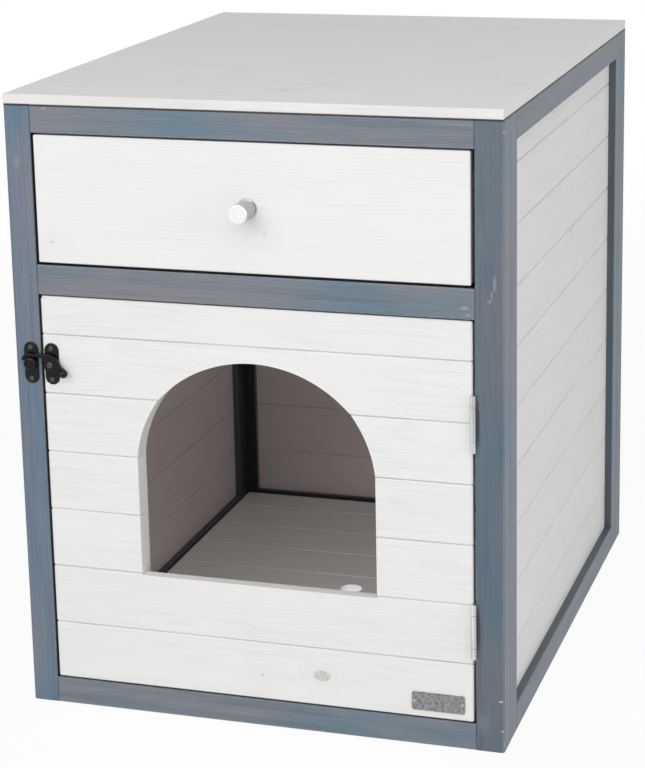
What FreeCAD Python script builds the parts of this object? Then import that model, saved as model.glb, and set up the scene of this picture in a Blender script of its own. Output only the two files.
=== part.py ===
import FreeCAD, Part

import os
import re
from math import ceil, cos, radians, sin

import Sketcher

# A cat house of softwood: a framed cabinet with a fixed top, a drawer, a hinged door with an
# arched way in, a hook latch and a lift-out floor. Millimetres, +Z up, front towards -Y.
# The origin is on the ground, below the middle of the whole object's box.

# The driving sizes, in millimetres
SIZES = {
    # Outside of the cabinet
    "width": 450,
    "depth": 570,
    "body_height": 563,
    "lid_thickness": 9,
    "lid_round": 1.2,
    # Frames
    "stock": 25,
    "corner_round": 3,
    "frame_ease": 0.5,
    "mid_rail_height": 27,
    "drawer_opening": 119,
    "back_thickness": 27,
    "back_stile_width": 35,
    "frame_screw_length": 45,
    "frame_screw_radius": 1.75,
    "frame_screw_head": 3.2,
    "frame_screw_head_depth": 2,
    "frame_screw_below_middle": 1.5,
    "frame_pin_length": 40,
    "frame_pin_radius": 1,
    "frame_pin_head": 2,
    "frame_pin_head_depth": 1,
    "frame_pin_above_middle": 3,
    # Tongued boards and the grooves that hold them
    "board_thickness": 10,
    "board_pitch": 55,
    "board_chamfer": 1.2,
    "smallest_rip": 12,
    "tongue_thickness": 3,
    "tongue_depth": 5,
    "panel_groove": 8,
    "panel_end_gap": 0.5,
    "back_board_inset": 7,
    # Lift-out floor
    "floor_drop": 2.5,
    "floor_side_gap": 0.5,
    "floor_end_gap": 2,
    "floor_first_board": 46,
    "floor_pitch": 61,
    "finger_hole_radius": 11,
    "floor_batten_width": 25,
    "floor_batten_height": 10,
    "floor_batten_inset": 75,
    "floor_batten_end_gap": 8,
    "cleat_width": 12,
    "cleat_height": 10,
    "rest_clearance": 0.05,
    # Drawer
    "drawer_gap_left": 2.5,
    "drawer_gap_right": 3.5,
    "drawer_gap_below": 2.5,
    "drawer_gap_above": 1.8,
    "drawer_front_thickness": 12,
    "drawer_front_ease": 0.8,
    "drawer_box_gap": 3.5,
    "drawer_rear_room": 43,
    "drawer_box_height": 90,
    "drawer_box_raise": 4.5,
    "drawer_side_thickness": 9,
    "drawer_bottom_thickness": 3,
    "drawer_bottom_raise": 7,
    "drawer_bottom_groove": 4,
    "dowel_radius": 2.5,
    "dowel_depth_front": 8,
    "dowel_length": 28,
    "dowel_inset": 20,
    "runner_width": 12.5,
    "runner_height": 14,
    "kicker_height": 15,
    "kicker_clearance": 1,
    # Knob
    "knob_projection": 26,
    "knob_base_radius": 9,
    "knob_base_thickness": 1.8,
    "knob_waist_radius": 8.3,
    "knob_neck_radius": 7.7,
    "knob_face_radius": 8.75,
    "knob_face_thickness": 4,
    "knob_round": 1.3,
    "knob_dimple_radius": 0.8,
    "knob_screw_radius": 2,
    "knob_screw_depth": 12,
    "knob_screw_head": 4,
    "knob_screw_head_height": 2.5,
    # Door and its arch
    "door_gap_left": 2,
    "door_gap_hinge": 2.5,
    "door_gap_below": 1,
    "door_gap_above": 1.5,
    "door_first_board": 54.5,
    "door_top_board": 35,
    "arch_side": 87,
    "arch_sill_height": 108,
    "arch_rise": 95,
    "arch_head_room": 50,
    "arch_haunch_drop": 11.4,
    "arch_crown_extra": 9,
    "door_clip_width": 4,
    "door_clip_height": 2,
    "door_batten_lap": 25.75,
    "door_batten_stand": 34.25,
    "door_batten_thickness": 10,
    "door_batten_end_gap": 6,
    "batten_screw_length": 16,
    "batten_screw_radius": 1.5,
    "batten_screw_head": 3,
    "batten_screw_inset": 16,
    # Butt hinges
    "hinge_height": 50.8,
    "hinge_leaf_thickness": 1,
    "hinge_leaf_depth": 10,
    "hinge_barrel_radius": 2.6,
    "hinge_face_clearance": 0.15,
    "hinge_end_knuckle": 10,
    "hinge_knuckle_gap": 0.3,
    "hinge_pin_radius": 1.3,
    "hinge_pin_clearance": 0.05,
    "upper_hinge_drop": 89.3,
    "lower_hinge_rise": 86.6,
    "hinge_screw_inset": 9,
    "hinge_screw_setback": 5,
    "small_screw_length": 14,
    "small_screw_radius": 1.2,
    "small_screw_head": 2.1,
    "small_screw_head_depth": 0.8,
    # Hook latch
    "latch_drop": 62.3,
    "keeper_inset": 15.5,
    "latch_base_inset": 35.5,
    "latch_plate_width": 13.8,
    "latch_plate_height": 38.4,
    "latch_plate_thickness": 1.4,
    "latch_plate_round": 0.9,
    "latch_screw_spacing": 29,
    "latch_screw_head": 2.5,
    "latch_screw_head_height": 0.8,
    "boss_neck_radius": 2.5,
    "boss_head_radius": 6.2,
    "boss_head_start": 1.6,
    "boss_head_thickness": 5.2,
    "boss_head_round": 2.4,
    "boss_ring_radius": 3.4,
    "boss_ring_groove": 0.5,
    "hub_radius": 5.6,
    "hub_height": 1.2,
    "arm_clearance": 0.56,
    "arm_thickness": 2.5,
    "arm_width": 3,
    "arm_round": 0.6,
    "tail_ball_radius": 3.9,
    "tail_ball_lift": 3.9,
    "rivet_radius": 1.6,
    "rivet_head_radius": 3,
    "rivet_head_height": 1.4,
    # Bare metal plate at the foot of the door
    "plate_width": 48.3,
    "plate_height": 17,
    "plate_thickness": 0.8,
    "plate_corner": 2,
    "plate_inset": 31.8,
    "plate_rise": 15.2,
    "plate_pin_inset": 2.1,
    "plate_pin_radius": 0.9,
    "plate_pin_head": 1.3,
    "plate_pin_head_height": 0.5,
    "plate_pin_length": 8,
}

DOOR_MIDDLE_BOARDS = 5  # between the first board of the door and its top one

# Places that several pieces share, each worked out from the sizes
PLACES = {
    "left": "-width / 2",
    "right": "width / 2",
    "front": "(knob_projection - depth) / 2",
    "back": "front + depth",
    "inner_left": "left + stock",
    "inner_right": "right - stock",
    "frame_back": "front + stock",
    "side_back": "back - back_thickness",
    "top_rail_low": "body_height - stock",
    "mid_rail_top": "top_rail_low - drawer_opening",
    "mid_rail_low": "mid_rail_top - mid_rail_height",
    "groove_low": "stock - panel_groove",
    "groove_high": "top_rail_low + panel_groove",
    "floor_top": "stock - floor_drop",
    "floor_underside": "floor_top - board_thickness",
    "floor_front": "frame_back + floor_end_gap",
    "floor_back": "side_back - floor_end_gap",
    "drawer_left": "inner_left + drawer_gap_left",
    "drawer_right": "inner_right - drawer_gap_right",
    "drawer_low": "mid_rail_top + drawer_gap_below",
    "drawer_high": "top_rail_low - drawer_gap_above",
    "drawer_front_back": "front + drawer_front_thickness",
    "box_left": "inner_left + drawer_box_gap",
    "box_right": "inner_right - drawer_box_gap",
    "box_low": "drawer_low + drawer_box_raise",
    "box_high": "box_low + drawer_box_height",
    "box_back": "side_back - drawer_rear_room",
    "knob_height": "(drawer_low + drawer_high) / 2",
    "door_left": "inner_left + door_gap_left",
    "door_right": "inner_right - door_gap_hinge",
    "door_low": "stock + door_gap_below",
    "door_high": "mid_rail_low - door_gap_above",
    "door_back": "front + board_thickness",
    "door_pitch": f"(door_high - door_low - door_first_board - door_top_board) / {DOOR_MIDDLE_BOARDS}",
    "batten_back": "door_back + door_batten_thickness",
    "arch_half_width": "(door_right - door_left) / 2 - arch_side",
    "arch_sill": "door_low + arch_sill_height",
    "arch_top": "door_high - arch_head_room",
    "arch_spring": "arch_top - arch_rise",
    "batten_near": "arch_half_width - door_batten_lap",
    "batten_far": "arch_half_width + door_batten_stand",
    "upper_hinge_middle": "door_high - upper_hinge_drop",
    "lower_hinge_middle": "door_low + lower_hinge_rise",
    "latch_middle": "door_high - latch_drop",
    "hinge_x": "inner_right - door_gap_hinge / 2",
    "hinge_y": "front - hinge_barrel_radius - hinge_face_clearance",
    "keeper_x": "left + keeper_inset",
    "latch_x": "left + latch_base_inset",
    "latch_face": "front - latch_plate_thickness",
    "hub_face": "latch_face - hub_height",
    "arm_back": "hub_face - rest_clearance",
    "arm_face": "arm_back - arm_thickness",
    "plate_x": "door_right - plate_inset",
    "plate_z": "door_low + plate_rise",
}

AXES = ("x", "y", "z")
DIRECTIONS = {
    "+x": FreeCAD.Vector(1, 0, 0),
    "-x": FreeCAD.Vector(-1, 0, 0),
    "+y": FreeCAD.Vector(0, 1, 0),
    "-y": FreeCAD.Vector(0, -1, 0),
    "+z": FreeCAD.Vector(0, 0, 1),
}
SIDES = {"left": -1, "right": 1}
ROUND_HEAD_SHARE = 0.6  # how much of a button head's height its rounded rim takes

doc = FreeCAD.newDocument("CatHouse")
sheet = doc.addObject("Spreadsheet::Sheet", "Sizes")
nodes = []


def fill_sheet():
    """One cell for each size, named by its alias."""
    for row, (name, value) in enumerate(SIZES.items(), 1):
        sheet.set(f"A{row}", str(value))
        sheet.setAlias(f"A{row}", name)
    sheet.recompute()


def size(name):
    """A size as the sheet holds it."""
    return float(sheet.get(name))


def formula(text):
    """The text with its places written out and its sizes read from the sheet."""

    def written_out(word):
        name = word.group()
        if name in PLACES:
            return "(" + formula(PLACES[name]) + ")"
        if name in SIZES:
            return "Sizes." + name
        return name

    return re.sub(r"[a-z]\w*", written_out, text)


def bind(thing, **properties):
    """Ties properties of a document object to formulas."""
    for name, text in properties.items():
        thing.setExpression(name, formula(text))
    return thing


def place(thing, x, y, z, direction="+z"):
    """Puts a primitive at a place, with its own z axis turned to a direction."""
    thing.Placement.Rotation = FreeCAD.Rotation(DIRECTIONS["+z"], DIRECTIONS[direction])
    for axis, text in zip(AXES, (x, y, z)):
        thing.setExpression("Placement.Base." + axis, formula(text))
    return thing


def block(name, x, y, z):
    """A box between a low and a high place along each axis."""
    box = doc.addObject("Part::Box", name)
    for length, (low, high) in zip(("Length", "Width", "Height"), (x, y, z)):
        box.setExpression(length, formula(f"({high}) - ({low})"))
    return place(box, x[0], y[0], z[0])


def rod(name, at, direction, radius, length):
    """A cylinder that starts at a place and runs in a direction."""
    cylinder = doc.addObject("Part::Cylinder", name)
    bind(cylinder, Radius=radius, Height=length)
    return place(cylinder, *at, direction)


def cone(name, at, direction, start_radius, end_radius, length):
    """A cone that starts at a place and runs in a direction."""
    taper = doc.addObject("Part::Cone", name)
    bind(taper, Radius1=start_radius, Radius2=end_radius, Height=length)
    return place(taper, *at, direction)


def pair(kind, name, base, tool):
    """A boolean of two shapes."""
    result = doc.addObject(kind, name)
    result.Base = base
    result.Tool = tool
    return result


def cut(name, base, *tools):
    """The base less each tool in turn."""
    for number, tool in enumerate(tools):
        base = pair("Part::Cut", f"{name}_cut_{number}", base, tool)
    return base


def fuse(name, base, *others):
    """The base joined with each other shape in turn."""
    for number, other in enumerate(others):
        base = pair("Part::Fuse", f"{name}_fuse_{number}", base, other)
    return base


def group(name, pieces):
    """Separate solids kept together."""
    together = doc.addObject("Part::Compound", name)
    together.Links = pieces
    return together


def made(piece):
    """The piece, once its shape has been worked out."""
    if piece.Shape.isNull():
        piece.recompute()
    return piece


def edges_along(solid, axis):
    """The numbers of the straight edges that run along an axis."""
    numbers = []
    for number, edge in enumerate(made(solid).Shape.Edges, 1):
        direction = edge.tangentAt(edge.FirstParameter)
        if edge.Curve.TypeId == "Part::GeomLine" and abs(getattr(direction, axis)) > 0.999:
            numbers.append(number)
    return numbers


def all_edges(solid):
    """The numbers of all edges."""
    return list(range(1, len(made(solid).Shape.Edges) + 1))


def edge_nearest(solid, axis, towards):
    """The number of the edge along an axis that lies furthest towards a direction."""

    def reach(number):
        return solid.Shape.Edges[number - 1].CenterOfMass.dot(FreeCAD.Vector(*towards))

    return max(edges_along(solid, axis), key=reach)


def rims_towards(solid, direction):
    """The numbers of the edges that lie wholly in the end face of a solid."""
    end = max(vertex.Point.dot(direction) for vertex in made(solid).Shape.Vertexes)
    numbers = []
    for number, edge in enumerate(solid.Shape.Edges, 1):
        if all(abs(point.dot(direction) - end) < 0.001 for point in edge.discretize(3)):
            numbers.append(number)
    return numbers


def dress(kind, name, base, widths):
    """Chamfers or rounds edges, given as a dictionary from edge number to width."""
    dressed = doc.addObject(kind, name)
    dressed.Base = base
    dressed.Edges = [(number, width, width) for number, width in widths.items()]
    return dressed


def chamfered(name, base, numbers, width):
    return dress("Part::Chamfer", name, base, {number: width for number in numbers})


def rounded(name, base, numbers, radius):
    return dress("Part::Fillet", name, base, {number: radius for number in numbers})


def node(name, piece):
    """Names a finished sub-part, which is written to its own file."""
    piece.Label = name
    nodes.append(piece)
    return piece


def countersunk_screw(name, at, direction, length, radius, head, head_depth):
    """A screw whose flat head starts at a place and which is driven in a direction."""
    shank = rod(name + "_shank", at, direction, radius, length)
    taper = cone(name + "_head", at, direction, head, radius, head_depth)
    return fuse(name, taper, shank)


def round_head(name, at, direction, radius, height):
    """A button head that stands on a surface, its outer rim rounded."""
    button = rod(name + "_blank", at, direction, radius, height)
    rims = rims_towards(button, DIRECTIONS[direction])
    return rounded(name, button, rims, size(height) * ROUND_HEAD_SHARE)


def eased_member(name, x, y, z):
    """A frame member cut to length, with every edge lightly eased."""
    blank = block(name + "_blank", x, y, z)
    return chamfered(name + "_eased", blank, all_edges(blank), size("frame_ease"))


def board(name, along, stack, thick, spans, tongue, groove, ends=False):
    """A tongued and grooved board with chamfered edges, lying between the places in spans."""
    blank = block(name + "_blank", *(spans[axis] for axis in AXES))
    numbers = all_edges(blank) if ends else edges_along(blank, along)
    piece = chamfered(name + "_eased", blank, numbers, size("board_chamfer"))
    low, high = spans[stack]
    inset = "(board_thickness - tongue_thickness) / 2"
    middle = (f"{spans[thick][0]} + {inset}", f"{spans[thick][1]} - {inset}")
    if tongue:
        strip = dict(spans, **{stack: (f"{high} - board_chamfer", f"{high} + tongue_depth"), thick: middle})
        piece = fuse(name + "_tongued", piece, block(name + "_tongue", *(strip[axis] for axis in AXES)))
    if groove:
        strip = dict(spans, **{stack: (f"{low} - tongue_depth", f"{low} + tongue_depth"), thick: middle})
        piece = cut(name + "_grooved", piece, block(name + "_groove", *(strip[axis] for axis in AXES)))
    return piece


def joints(low, high, room, first, pitch):
    """Where each board of a row starts and where the last one ends; no board is a sliver."""
    more = ceil((room - size(first) - size("smallest_rip")) / size(pitch))
    return [low] + [f"{low} + {first} + {number} * {pitch}" for number in range(more)] + [high]


def board_row(name, along, stack, thick, spans, starts, ends=False):
    """A row of boards side by side between the starts, each tongue in the next board's groove."""
    row = []
    for number, span in enumerate(zip(starts, starts[1:])):
        has_tongue = number < len(starts) - 2
        place_of_board = dict(spans, **{stack: span})
        piece = board(f"{name}_{number + 1}", along, stack, thick, place_of_board,
                      has_tongue, number > 0, ends)
        row.append(piece)
    return row


def frame_fasteners():
    """Screws through the front stiles into the rail ends, and pins into the side frames."""
    screws = []
    heights = {
        "top": "top_rail_low + stock / 2",
        "mid": "mid_rail_low + mid_rail_height / 2 - frame_screw_below_middle",
        "bottom": "stock / 2",
    }
    for side, sign in SIDES.items():
        inwards = "+x" if sign < 0 else "-x"
        for level, height in heights.items():
            at = (side, "front + stock / 2", height)
            screws.append(countersunk_screw(
                f"frame_screw_{side}_{level}", at, inwards, "frame_screw_length",
                "frame_screw_radius", "frame_screw_head", "frame_screw_head_depth"))
        at = (f"{side} - {sign} * stock / 2", "front",
              "mid_rail_low + mid_rail_height / 2 + frame_pin_above_middle")
        screws.append(countersunk_screw(
            f"frame_pin_{side}", at, "+y", "frame_pin_length",
            "frame_pin_radius", "frame_pin_head", "frame_pin_head_depth"))
    return group("frame_screw_group", screws)


def front_frame(screws, hinge_screws, latch_screws):
    """Two full-height stiles with three rails between them."""
    deep = ("front", "frame_back")
    full = ("0", "body_height")
    spans = {"left": ("left", "inner_left"), "right": ("inner_right", "right")}
    for side, sign in SIDES.items():
        name = f"front_stile_{side}"
        blank = block(name + "_blank", spans[side], deep, full)
        outer = edge_nearest(blank, "z", (sign, -1, 0))
        inner = edge_nearest(blank, "z", (-sign, -1, 0))
        widths = {outer: size("corner_round"), inner: size("frame_ease")}
        stile = dress("Part::Fillet", name + "_rounded", blank, widths)
        fixings = latch_screws if side == "left" else hinge_screws
        node(name, cut(name, stile, screws, fixings))
    between = ("inner_left", "inner_right")
    rails = {
        "front_top_rail": ("top_rail_low", "body_height"),
        "front_mid_rail": ("mid_rail_low", "mid_rail_top"),
        "front_bottom_rail": ("0", "stock"),
    }
    for name, heights in rails.items():
        node(name, cut(name, eased_member(name, between, deep, heights), screws))


def side_frame(side, sign, screws):
    """A side: two stiles and two rails, grooved all round for a row of boards."""
    outer = ("left", "inner_left") if sign < 0 else ("inner_right", "right")
    inset = "(stock - board_thickness) / 2"
    boards_across = (f"{outer[0]} + {inset}", f"{outer[1]} - {inset}")
    panel = ("frame_back + stock", "side_back - stock")
    grooves = (f"{panel[0]} - panel_groove", f"{panel[1]} + panel_groove")
    space = block(f"side_space_{side}", boards_across, grooves, ("groove_low", "groove_high"))
    members = {
        f"side_front_stile_{side}": (("frame_back", panel[0]), ("0", "body_height")),
        f"side_rear_stile_{side}": ((panel[1], "side_back"), ("0", "body_height")),
        f"side_top_rail_{side}": (panel, ("top_rail_low", "body_height")),
        f"side_bottom_rail_{side}": (panel, ("0", "stock")),
    }
    for name, (along, heights) in members.items():
        tools = [space, screws] if "front_stile" in name else [space]
        node(name, cut(name, eased_member(name, outer, along, heights), *tools))
    spans = {
        "x": boards_across,
        "y": (f"{grooves[0]} + panel_end_gap", f"{grooves[1]} - panel_end_gap"),
        "z": ("groove_low", "groove_high - panel_end_gap"),
    }
    room = made(space).Height.Value - size("panel_end_gap")
    name = f"side_boards_{side}"
    row = board_row(name, "y", "z", "x", spans, joints(*spans["z"], room, "board_pitch", "board_pitch"))
    node(name, group(name + "_row", row))


def back_frame():
    """The back: wider stiles and two rails round a row of boards set towards the inside."""
    deep = ("side_back", "back")
    boards_across = ("side_back + back_board_inset", "side_back + back_board_inset + board_thickness")
    panel = ("left + back_stile_width", "right - back_stile_width")
    grooves = (f"{panel[0]} - panel_groove", f"{panel[1]} + panel_groove")
    space = block("back_space", grooves, boards_across, ("groove_low", "groove_high"))
    members = {
        "back_stile_left": (("left", panel[0]), ("0", "body_height")),
        "back_stile_right": ((panel[1], "right"), ("0", "body_height")),
        "back_top_rail": (panel, ("top_rail_low", "body_height")),
        "back_bottom_rail": (panel, ("0", "stock")),
    }
    for name, (across, heights) in members.items():
        node(name, cut(name, eased_member(name, across, deep, heights), space))
    spans = {
        "x": (f"{grooves[0]} + panel_end_gap", f"{grooves[1]} - panel_end_gap"),
        "y": boards_across,
        "z": ("groove_low", "groove_high - panel_end_gap"),
    }
    room = made(space).Height.Value - size("panel_end_gap")
    starts = joints(*spans["z"], room, "board_pitch", "board_pitch")
    row = board_row("back_boards", "x", "z", "y", spans, starts)
    node("back_boards", group("back_boards_row", row))


def top_board():
    """The fixed top, flush with the frame all round, its edges softened."""
    blank = block("top_board_blank", ("left", "right"), ("front", "back"),
                  ("body_height", "body_height + lid_thickness"))
    node("top_board", rounded("top_board_rounded", blank, all_edges(blank), size("lid_round")))


def floor_cleats():
    """Two cleats on the side frames that carry the floor."""
    high = "floor_underside - rest_clearance"
    heights = (f"{high} - cleat_height", high)
    along = ("floor_front", "floor_back")
    left = block("floor_cleat_left", ("inner_left", "inner_left + cleat_width"), along, heights)
    right = block("floor_cleat_right", ("inner_right - cleat_width", "inner_right"), along, heights)
    node("floor_cleats", group("floor_cleat_pair", [left, right]))


def lift_out_floor():
    """Boards across the cabinet on two battens, with a finger hole in the middle."""
    hole = rod("finger_hole", ("0", "(floor_front + floor_back) / 2", "floor_underside - tongue_depth"),
               "+z", "finger_hole_radius", "board_thickness + 2 * tongue_depth")
    spans = {
        "x": ("inner_left + floor_side_gap", "inner_right - floor_side_gap"),
        "y": ("floor_front", "floor_back"),
        "z": ("floor_underside", "floor_top"),
    }
    outline = block("floor_outline", spans["x"], spans["y"], spans["z"])
    starts = joints(*spans["y"], made(outline).Width.Value, "floor_first_board", "floor_pitch")
    row = board_row("floor_board", "x", "y", "z", spans, starts)
    bored = [cut(f"floor_board_{number}_bored", piece, hole) for number, piece in enumerate(row, 1)]
    node("floor_boards", group("floor_board_row", bored))
    along = ("floor_front + floor_batten_end_gap", "floor_back - floor_batten_end_gap")
    heights = ("floor_underside - floor_batten_height", "floor_underside")
    outer, inner = "floor_batten_inset", "(floor_batten_inset + floor_batten_width)"
    left = block("floor_batten_left", (f"inner_left + {outer}", f"inner_left + {inner}"), along, heights)
    right = block("floor_batten_right", (f"inner_right - {inner}", f"inner_right - {outer}"), along, heights)
    node("floor_battens", group("floor_batten_pair", [left, right]))


def drawer_guides():
    """Runners that the drawer slides on, and kickers above that stop it tipping."""
    along = ("frame_back", "side_back")
    across = {
        "left": ("inner_left", "inner_left + runner_width"),
        "right": ("inner_right - runner_width", "inner_right"),
    }
    runner_top = "box_low - rest_clearance"
    kicker_low = "box_high + kicker_clearance"
    runners = [block(f"drawer_runner_{side}", across[side], along,
                     (f"{runner_top} - runner_height", runner_top)) for side in SIDES]
    kickers = [block(f"drawer_kicker_{side}", across[side], along,
                     (kicker_low, f"{kicker_low} + kicker_height")) for side in SIDES]
    node("drawer_runners", group("drawer_runner_pair", runners))
    node("drawer_kickers", group("drawer_kicker_pair", kickers))


def drawer_dowels():
    """Dowels that join the drawer sides to the front and to the back."""
    dowels = []
    side_middles = {
        "left": "box_left + drawer_side_thickness / 2",
        "right": "box_right - drawer_side_thickness / 2",
    }
    for side, sign in SIDES.items():
        inwards = "+x" if sign < 0 else "-x"
        for level, height in {"low": "box_low + dowel_inset", "high": "box_high - dowel_inset"}.items():
            at_front = (side_middles[side], "drawer_front_back - dowel_depth_front", height)
            dowels.append(rod(f"dowel_front_{side}_{level}", at_front, "+y",
                              "dowel_radius", "dowel_length"))
            at_back = (f"box_{side}", "box_back - drawer_side_thickness / 2", height)
            dowels.append(rod(f"dowel_back_{side}_{level}", at_back, inwards,
                              "dowel_radius", "dowel_length"))
    return node("drawer_dowels", group("drawer_dowel_set", dowels))


def drawer():
    """A planted front on a doweled box with a thin bottom held in grooves."""
    inner_low, inner_high = "box_left + drawer_side_thickness", "box_right - drawer_side_thickness"
    box_end = "box_back - drawer_side_thickness"
    bottom_low = "box_low + drawer_bottom_raise"
    bottom = block("drawer_bottom_panel",
                   (f"{inner_low} - drawer_bottom_groove", f"{inner_high} + drawer_bottom_groove"),
                   ("drawer_front_back - drawer_bottom_groove", f"{box_end} + drawer_bottom_groove"),
                   (bottom_low, f"{bottom_low} + drawer_bottom_thickness"))
    node("drawer_bottom", bottom)
    dowels = drawer_dowels()
    heights = ("box_low", "box_high")
    along = ("drawer_front_back", "box_back")
    left = block("drawer_side_left_blank", ("box_left", inner_low), along, heights)
    right = block("drawer_side_right_blank", (inner_high, "box_right"), along, heights)
    end = block("drawer_back_blank", (inner_low, inner_high), (box_end, "box_back"), heights)
    node("drawer_side_left", cut("drawer_side_left", left, bottom, dowels))
    node("drawer_side_right", cut("drawer_side_right", right, bottom, dowels))
    node("drawer_back", cut("drawer_back", end, bottom, dowels))
    screw = knob_screw()
    blank = block("drawer_front_blank", ("drawer_left", "drawer_right"), ("front", "drawer_front_back"),
                  ("drawer_low", "drawer_high"))
    face = chamfered("drawer_front_eased", blank, all_edges(blank), size("drawer_front_ease"))
    node("drawer_front", cut("drawer_front", face, bottom, dowels, screw))


def knob_screw():
    """The screw that holds the knob, driven from inside the drawer."""
    length = "drawer_front_thickness + knob_screw_depth"
    at = ("0", "drawer_front_back", "knob_height")
    shank = rod("knob_screw_shank", at, "-y", "knob_screw_radius", length)
    head = round_head("knob_screw_head_part", at, "+y", "knob_screw_head", "knob_screw_head_height")
    return node("drawer_knob_screw", fuse("knob_screw", head, shank))


def origin_plane(body, role):
    return next(plane for plane in body.Origin.OriginFeatures if plane.Role == role)


def outline_sketch(body, points):
    """A closed outline of straight lines, each corner tied to a pair of formulas."""
    outline = body.newObject("Sketcher::SketchObject", body.Name + "_outline")
    outline.AttachmentSupport = [(origin_plane(body, "XZ_Plane"), "")]
    outline.MapMode = "FlatFace"
    spread = [FreeCAD.Vector(radians(number) * 10 + 1, number + 1, 0) for number in range(len(points))]
    for start, end in zip(spread, spread[1:] + spread[:1]):
        outline.addGeometry(Part.LineSegment(start, end))
    count = len(points)
    for number in range(count):
        outline.addConstraint(Sketcher.Constraint("Coincident", number, 2, (number + 1) % count, 1))
    for number, (across, up) in enumerate(points):
        for kind, text in (("DistanceX", across), ("DistanceY", up)):
            row = outline.addConstraint(Sketcher.Constraint(kind, -1, 1, number, 1, 1))
            outline.setExpression(f"Constraints[{row}]", formula(text))
    return outline


def knob():
    """A turned knob: a base ring, a tapering neck and a thin round face with a small dimple."""
    body = doc.addObject("PartDesign::Body", "drawer_knob_body")
    face_back = "knob_projection - knob_face_thickness"
    bore = "knob_screw_depth"
    points = [
        ("knob_screw_radius", "0"),
        ("knob_base_radius", "0"),
        ("knob_base_radius", "knob_base_thickness"),
        ("knob_waist_radius", "knob_base_thickness"),
        ("knob_neck_radius", f"{face_back} - knob_round"),
        ("knob_face_radius", face_back),
        ("knob_face_radius", "knob_projection"),
        ("knob_dimple_radius", "knob_projection"),
        ("0", "knob_projection - knob_dimple_radius"),
        ("0", bore),
        ("knob_screw_radius", bore),
    ]
    outline = outline_sketch(body, points)
    turned = body.newObject("PartDesign::Revolution", "drawer_knob_turned")
    turned.Profile = outline
    turned.ReferenceAxis = (outline, ["V_Axis"])
    turned.Angle = 360
    doc.recompute()
    up = DIRECTIONS["+z"]
    reach = size("knob_projection")
    soft = body.newObject("PartDesign::Fillet", "drawer_knob_softened")
    rims = []
    for number, edge in enumerate(turned.Shape.Edges, 1):
        round_edge = edge.Curve.TypeId == "Part::GeomCircle"
        if round_edge and abs(edge.Curve.Radius - size("knob_face_radius")) < 0.001:
            rims.append(f"Edge{number}")
        elif round_edge and abs(edge.Curve.Radius - size("knob_neck_radius")) < 0.001:
            if edge.Curve.Center.dot(up) < reach:
                rims.append(f"Edge{number}")
    soft.Base = (turned, rims)
    soft.setExpression("Radius", formula("knob_round"))
    body.Tip = soft
    doc.recompute()
    place(body, "0", "front", "knob_height", "-y")
    node("drawer_knob", body)


def arch_cutter():
    """The way in: straight legs under a three-centred arch, long enough to cut the whole door."""
    through = ("front - board_thickness", "batten_back + board_thickness")
    length = "2 * board_thickness + batten_back - front"
    legs = block("arch_legs", ("-arch_half_width", "arch_half_width"), through,
                 ("arch_sill", "arch_spring"))
    haunch_centre = "arch_spring - arch_haunch_drop"
    crown_radius = "arch_half_width + arch_crown_extra"
    start = "front - board_thickness"
    haunches = rod("arch_haunches", ("0", start, haunch_centre), "+y",
                   "sqrt(arch_half_width * arch_half_width + arch_haunch_drop * arch_haunch_drop)", length)
    crown = rod("arch_crown", ("0", start, f"arch_top - {crown_radius.replace('+', '-')}"), "+y",
                crown_radius, length)
    both = pair("Part::Common", "arch_discs", haunches, crown)
    above = block("arch_above", ("-arch_half_width", "arch_half_width"), through,
                  ("arch_spring", "arch_top"))
    return fuse("arch", legs, pair("Part::Common", "arch_head", both, above))


def batten_screws(rows):
    """Screws from behind through both door battens, one into each board."""
    screws = []
    for side, sign in SIDES.items():
        x = f"{sign} * (batten_far - batten_screw_inset)"
        for number, (low, high) in enumerate(rows, 1):
            at = (x, "batten_back", f"(({low}) + ({high})) / 2")
            screws.append(countersunk_screw(
                f"batten_screw_{side}_{number}", at, "-y", "batten_screw_length",
                "batten_screw_radius", "batten_screw_head", "batten_screw_radius"))
    return node("door_batten_screws", group("batten_screw_set", screws))


def door(hinge_screws, latch_screws, plate_pins):
    """Seven boards held by two battens, with the arch sawn through all of them. Below the sill
    the battens are as far apart as the arch is wide."""
    spans = {
        "x": ("door_left", "door_right"),
        "y": ("front", "door_back"),
        "z": ("door_low", "door_high"),
    }
    inner_joints = [f"door_low + door_first_board + {number} * door_pitch"
                    for number in range(DOOR_MIDDLE_BOARDS + 1)]
    starts = ["door_low", *inner_joints, "door_high"]
    screws = batten_screws(list(zip(starts, starts[1:])))
    arch = arch_cutter()
    row = board_row("door_row", "x", "z", "y", spans, starts, ends=True)
    for number, piece in enumerate(row, 1):
        name = f"door_board_{number}"
        if number == len(row):
            clip = corner_clip()
            piece = cut(name + "_clipped", piece, clip)
        node(name, cut(name, piece, arch, screws, hinge_screws, latch_screws, plate_pins))
    heights = ("door_low + door_batten_end_gap", "door_high - door_batten_end_gap")
    notch = block("batten_notch", ("-arch_half_width", "arch_half_width"),
                  ("door_back", "batten_back"), ("door_low", "arch_spring"))
    for side, sign in SIDES.items():
        near, far = f"{sign} * batten_near", f"{sign} * batten_far"
        across = (near, far) if sign > 0 else (far, near)
        name = f"door_batten_{side}"
        blank = block(name + "_blank", across, ("door_back", "batten_back"), heights)
        node(name, cut(name, blank, arch, notch, screws))


def corner_clip():
    """A wedge that clips the worn top left corner of the door."""
    wedge = doc.addObject("Part::Wedge", "door_clip")
    bind(wedge, Xmin="0", Xmax="door_clip_width", X2min="0", X2max="0",
         Zmin="0", Zmax="board_thickness", Z2min="0", Z2max="board_thickness",
         Ymin="0", Ymax="door_clip_height")
    turn = FreeCAD.Rotation(DIRECTIONS["+x"], 90)
    place(wedge, "door_left", "door_back", "door_high - door_clip_height")
    wedge.Placement.Rotation = turn
    return wedge


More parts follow.
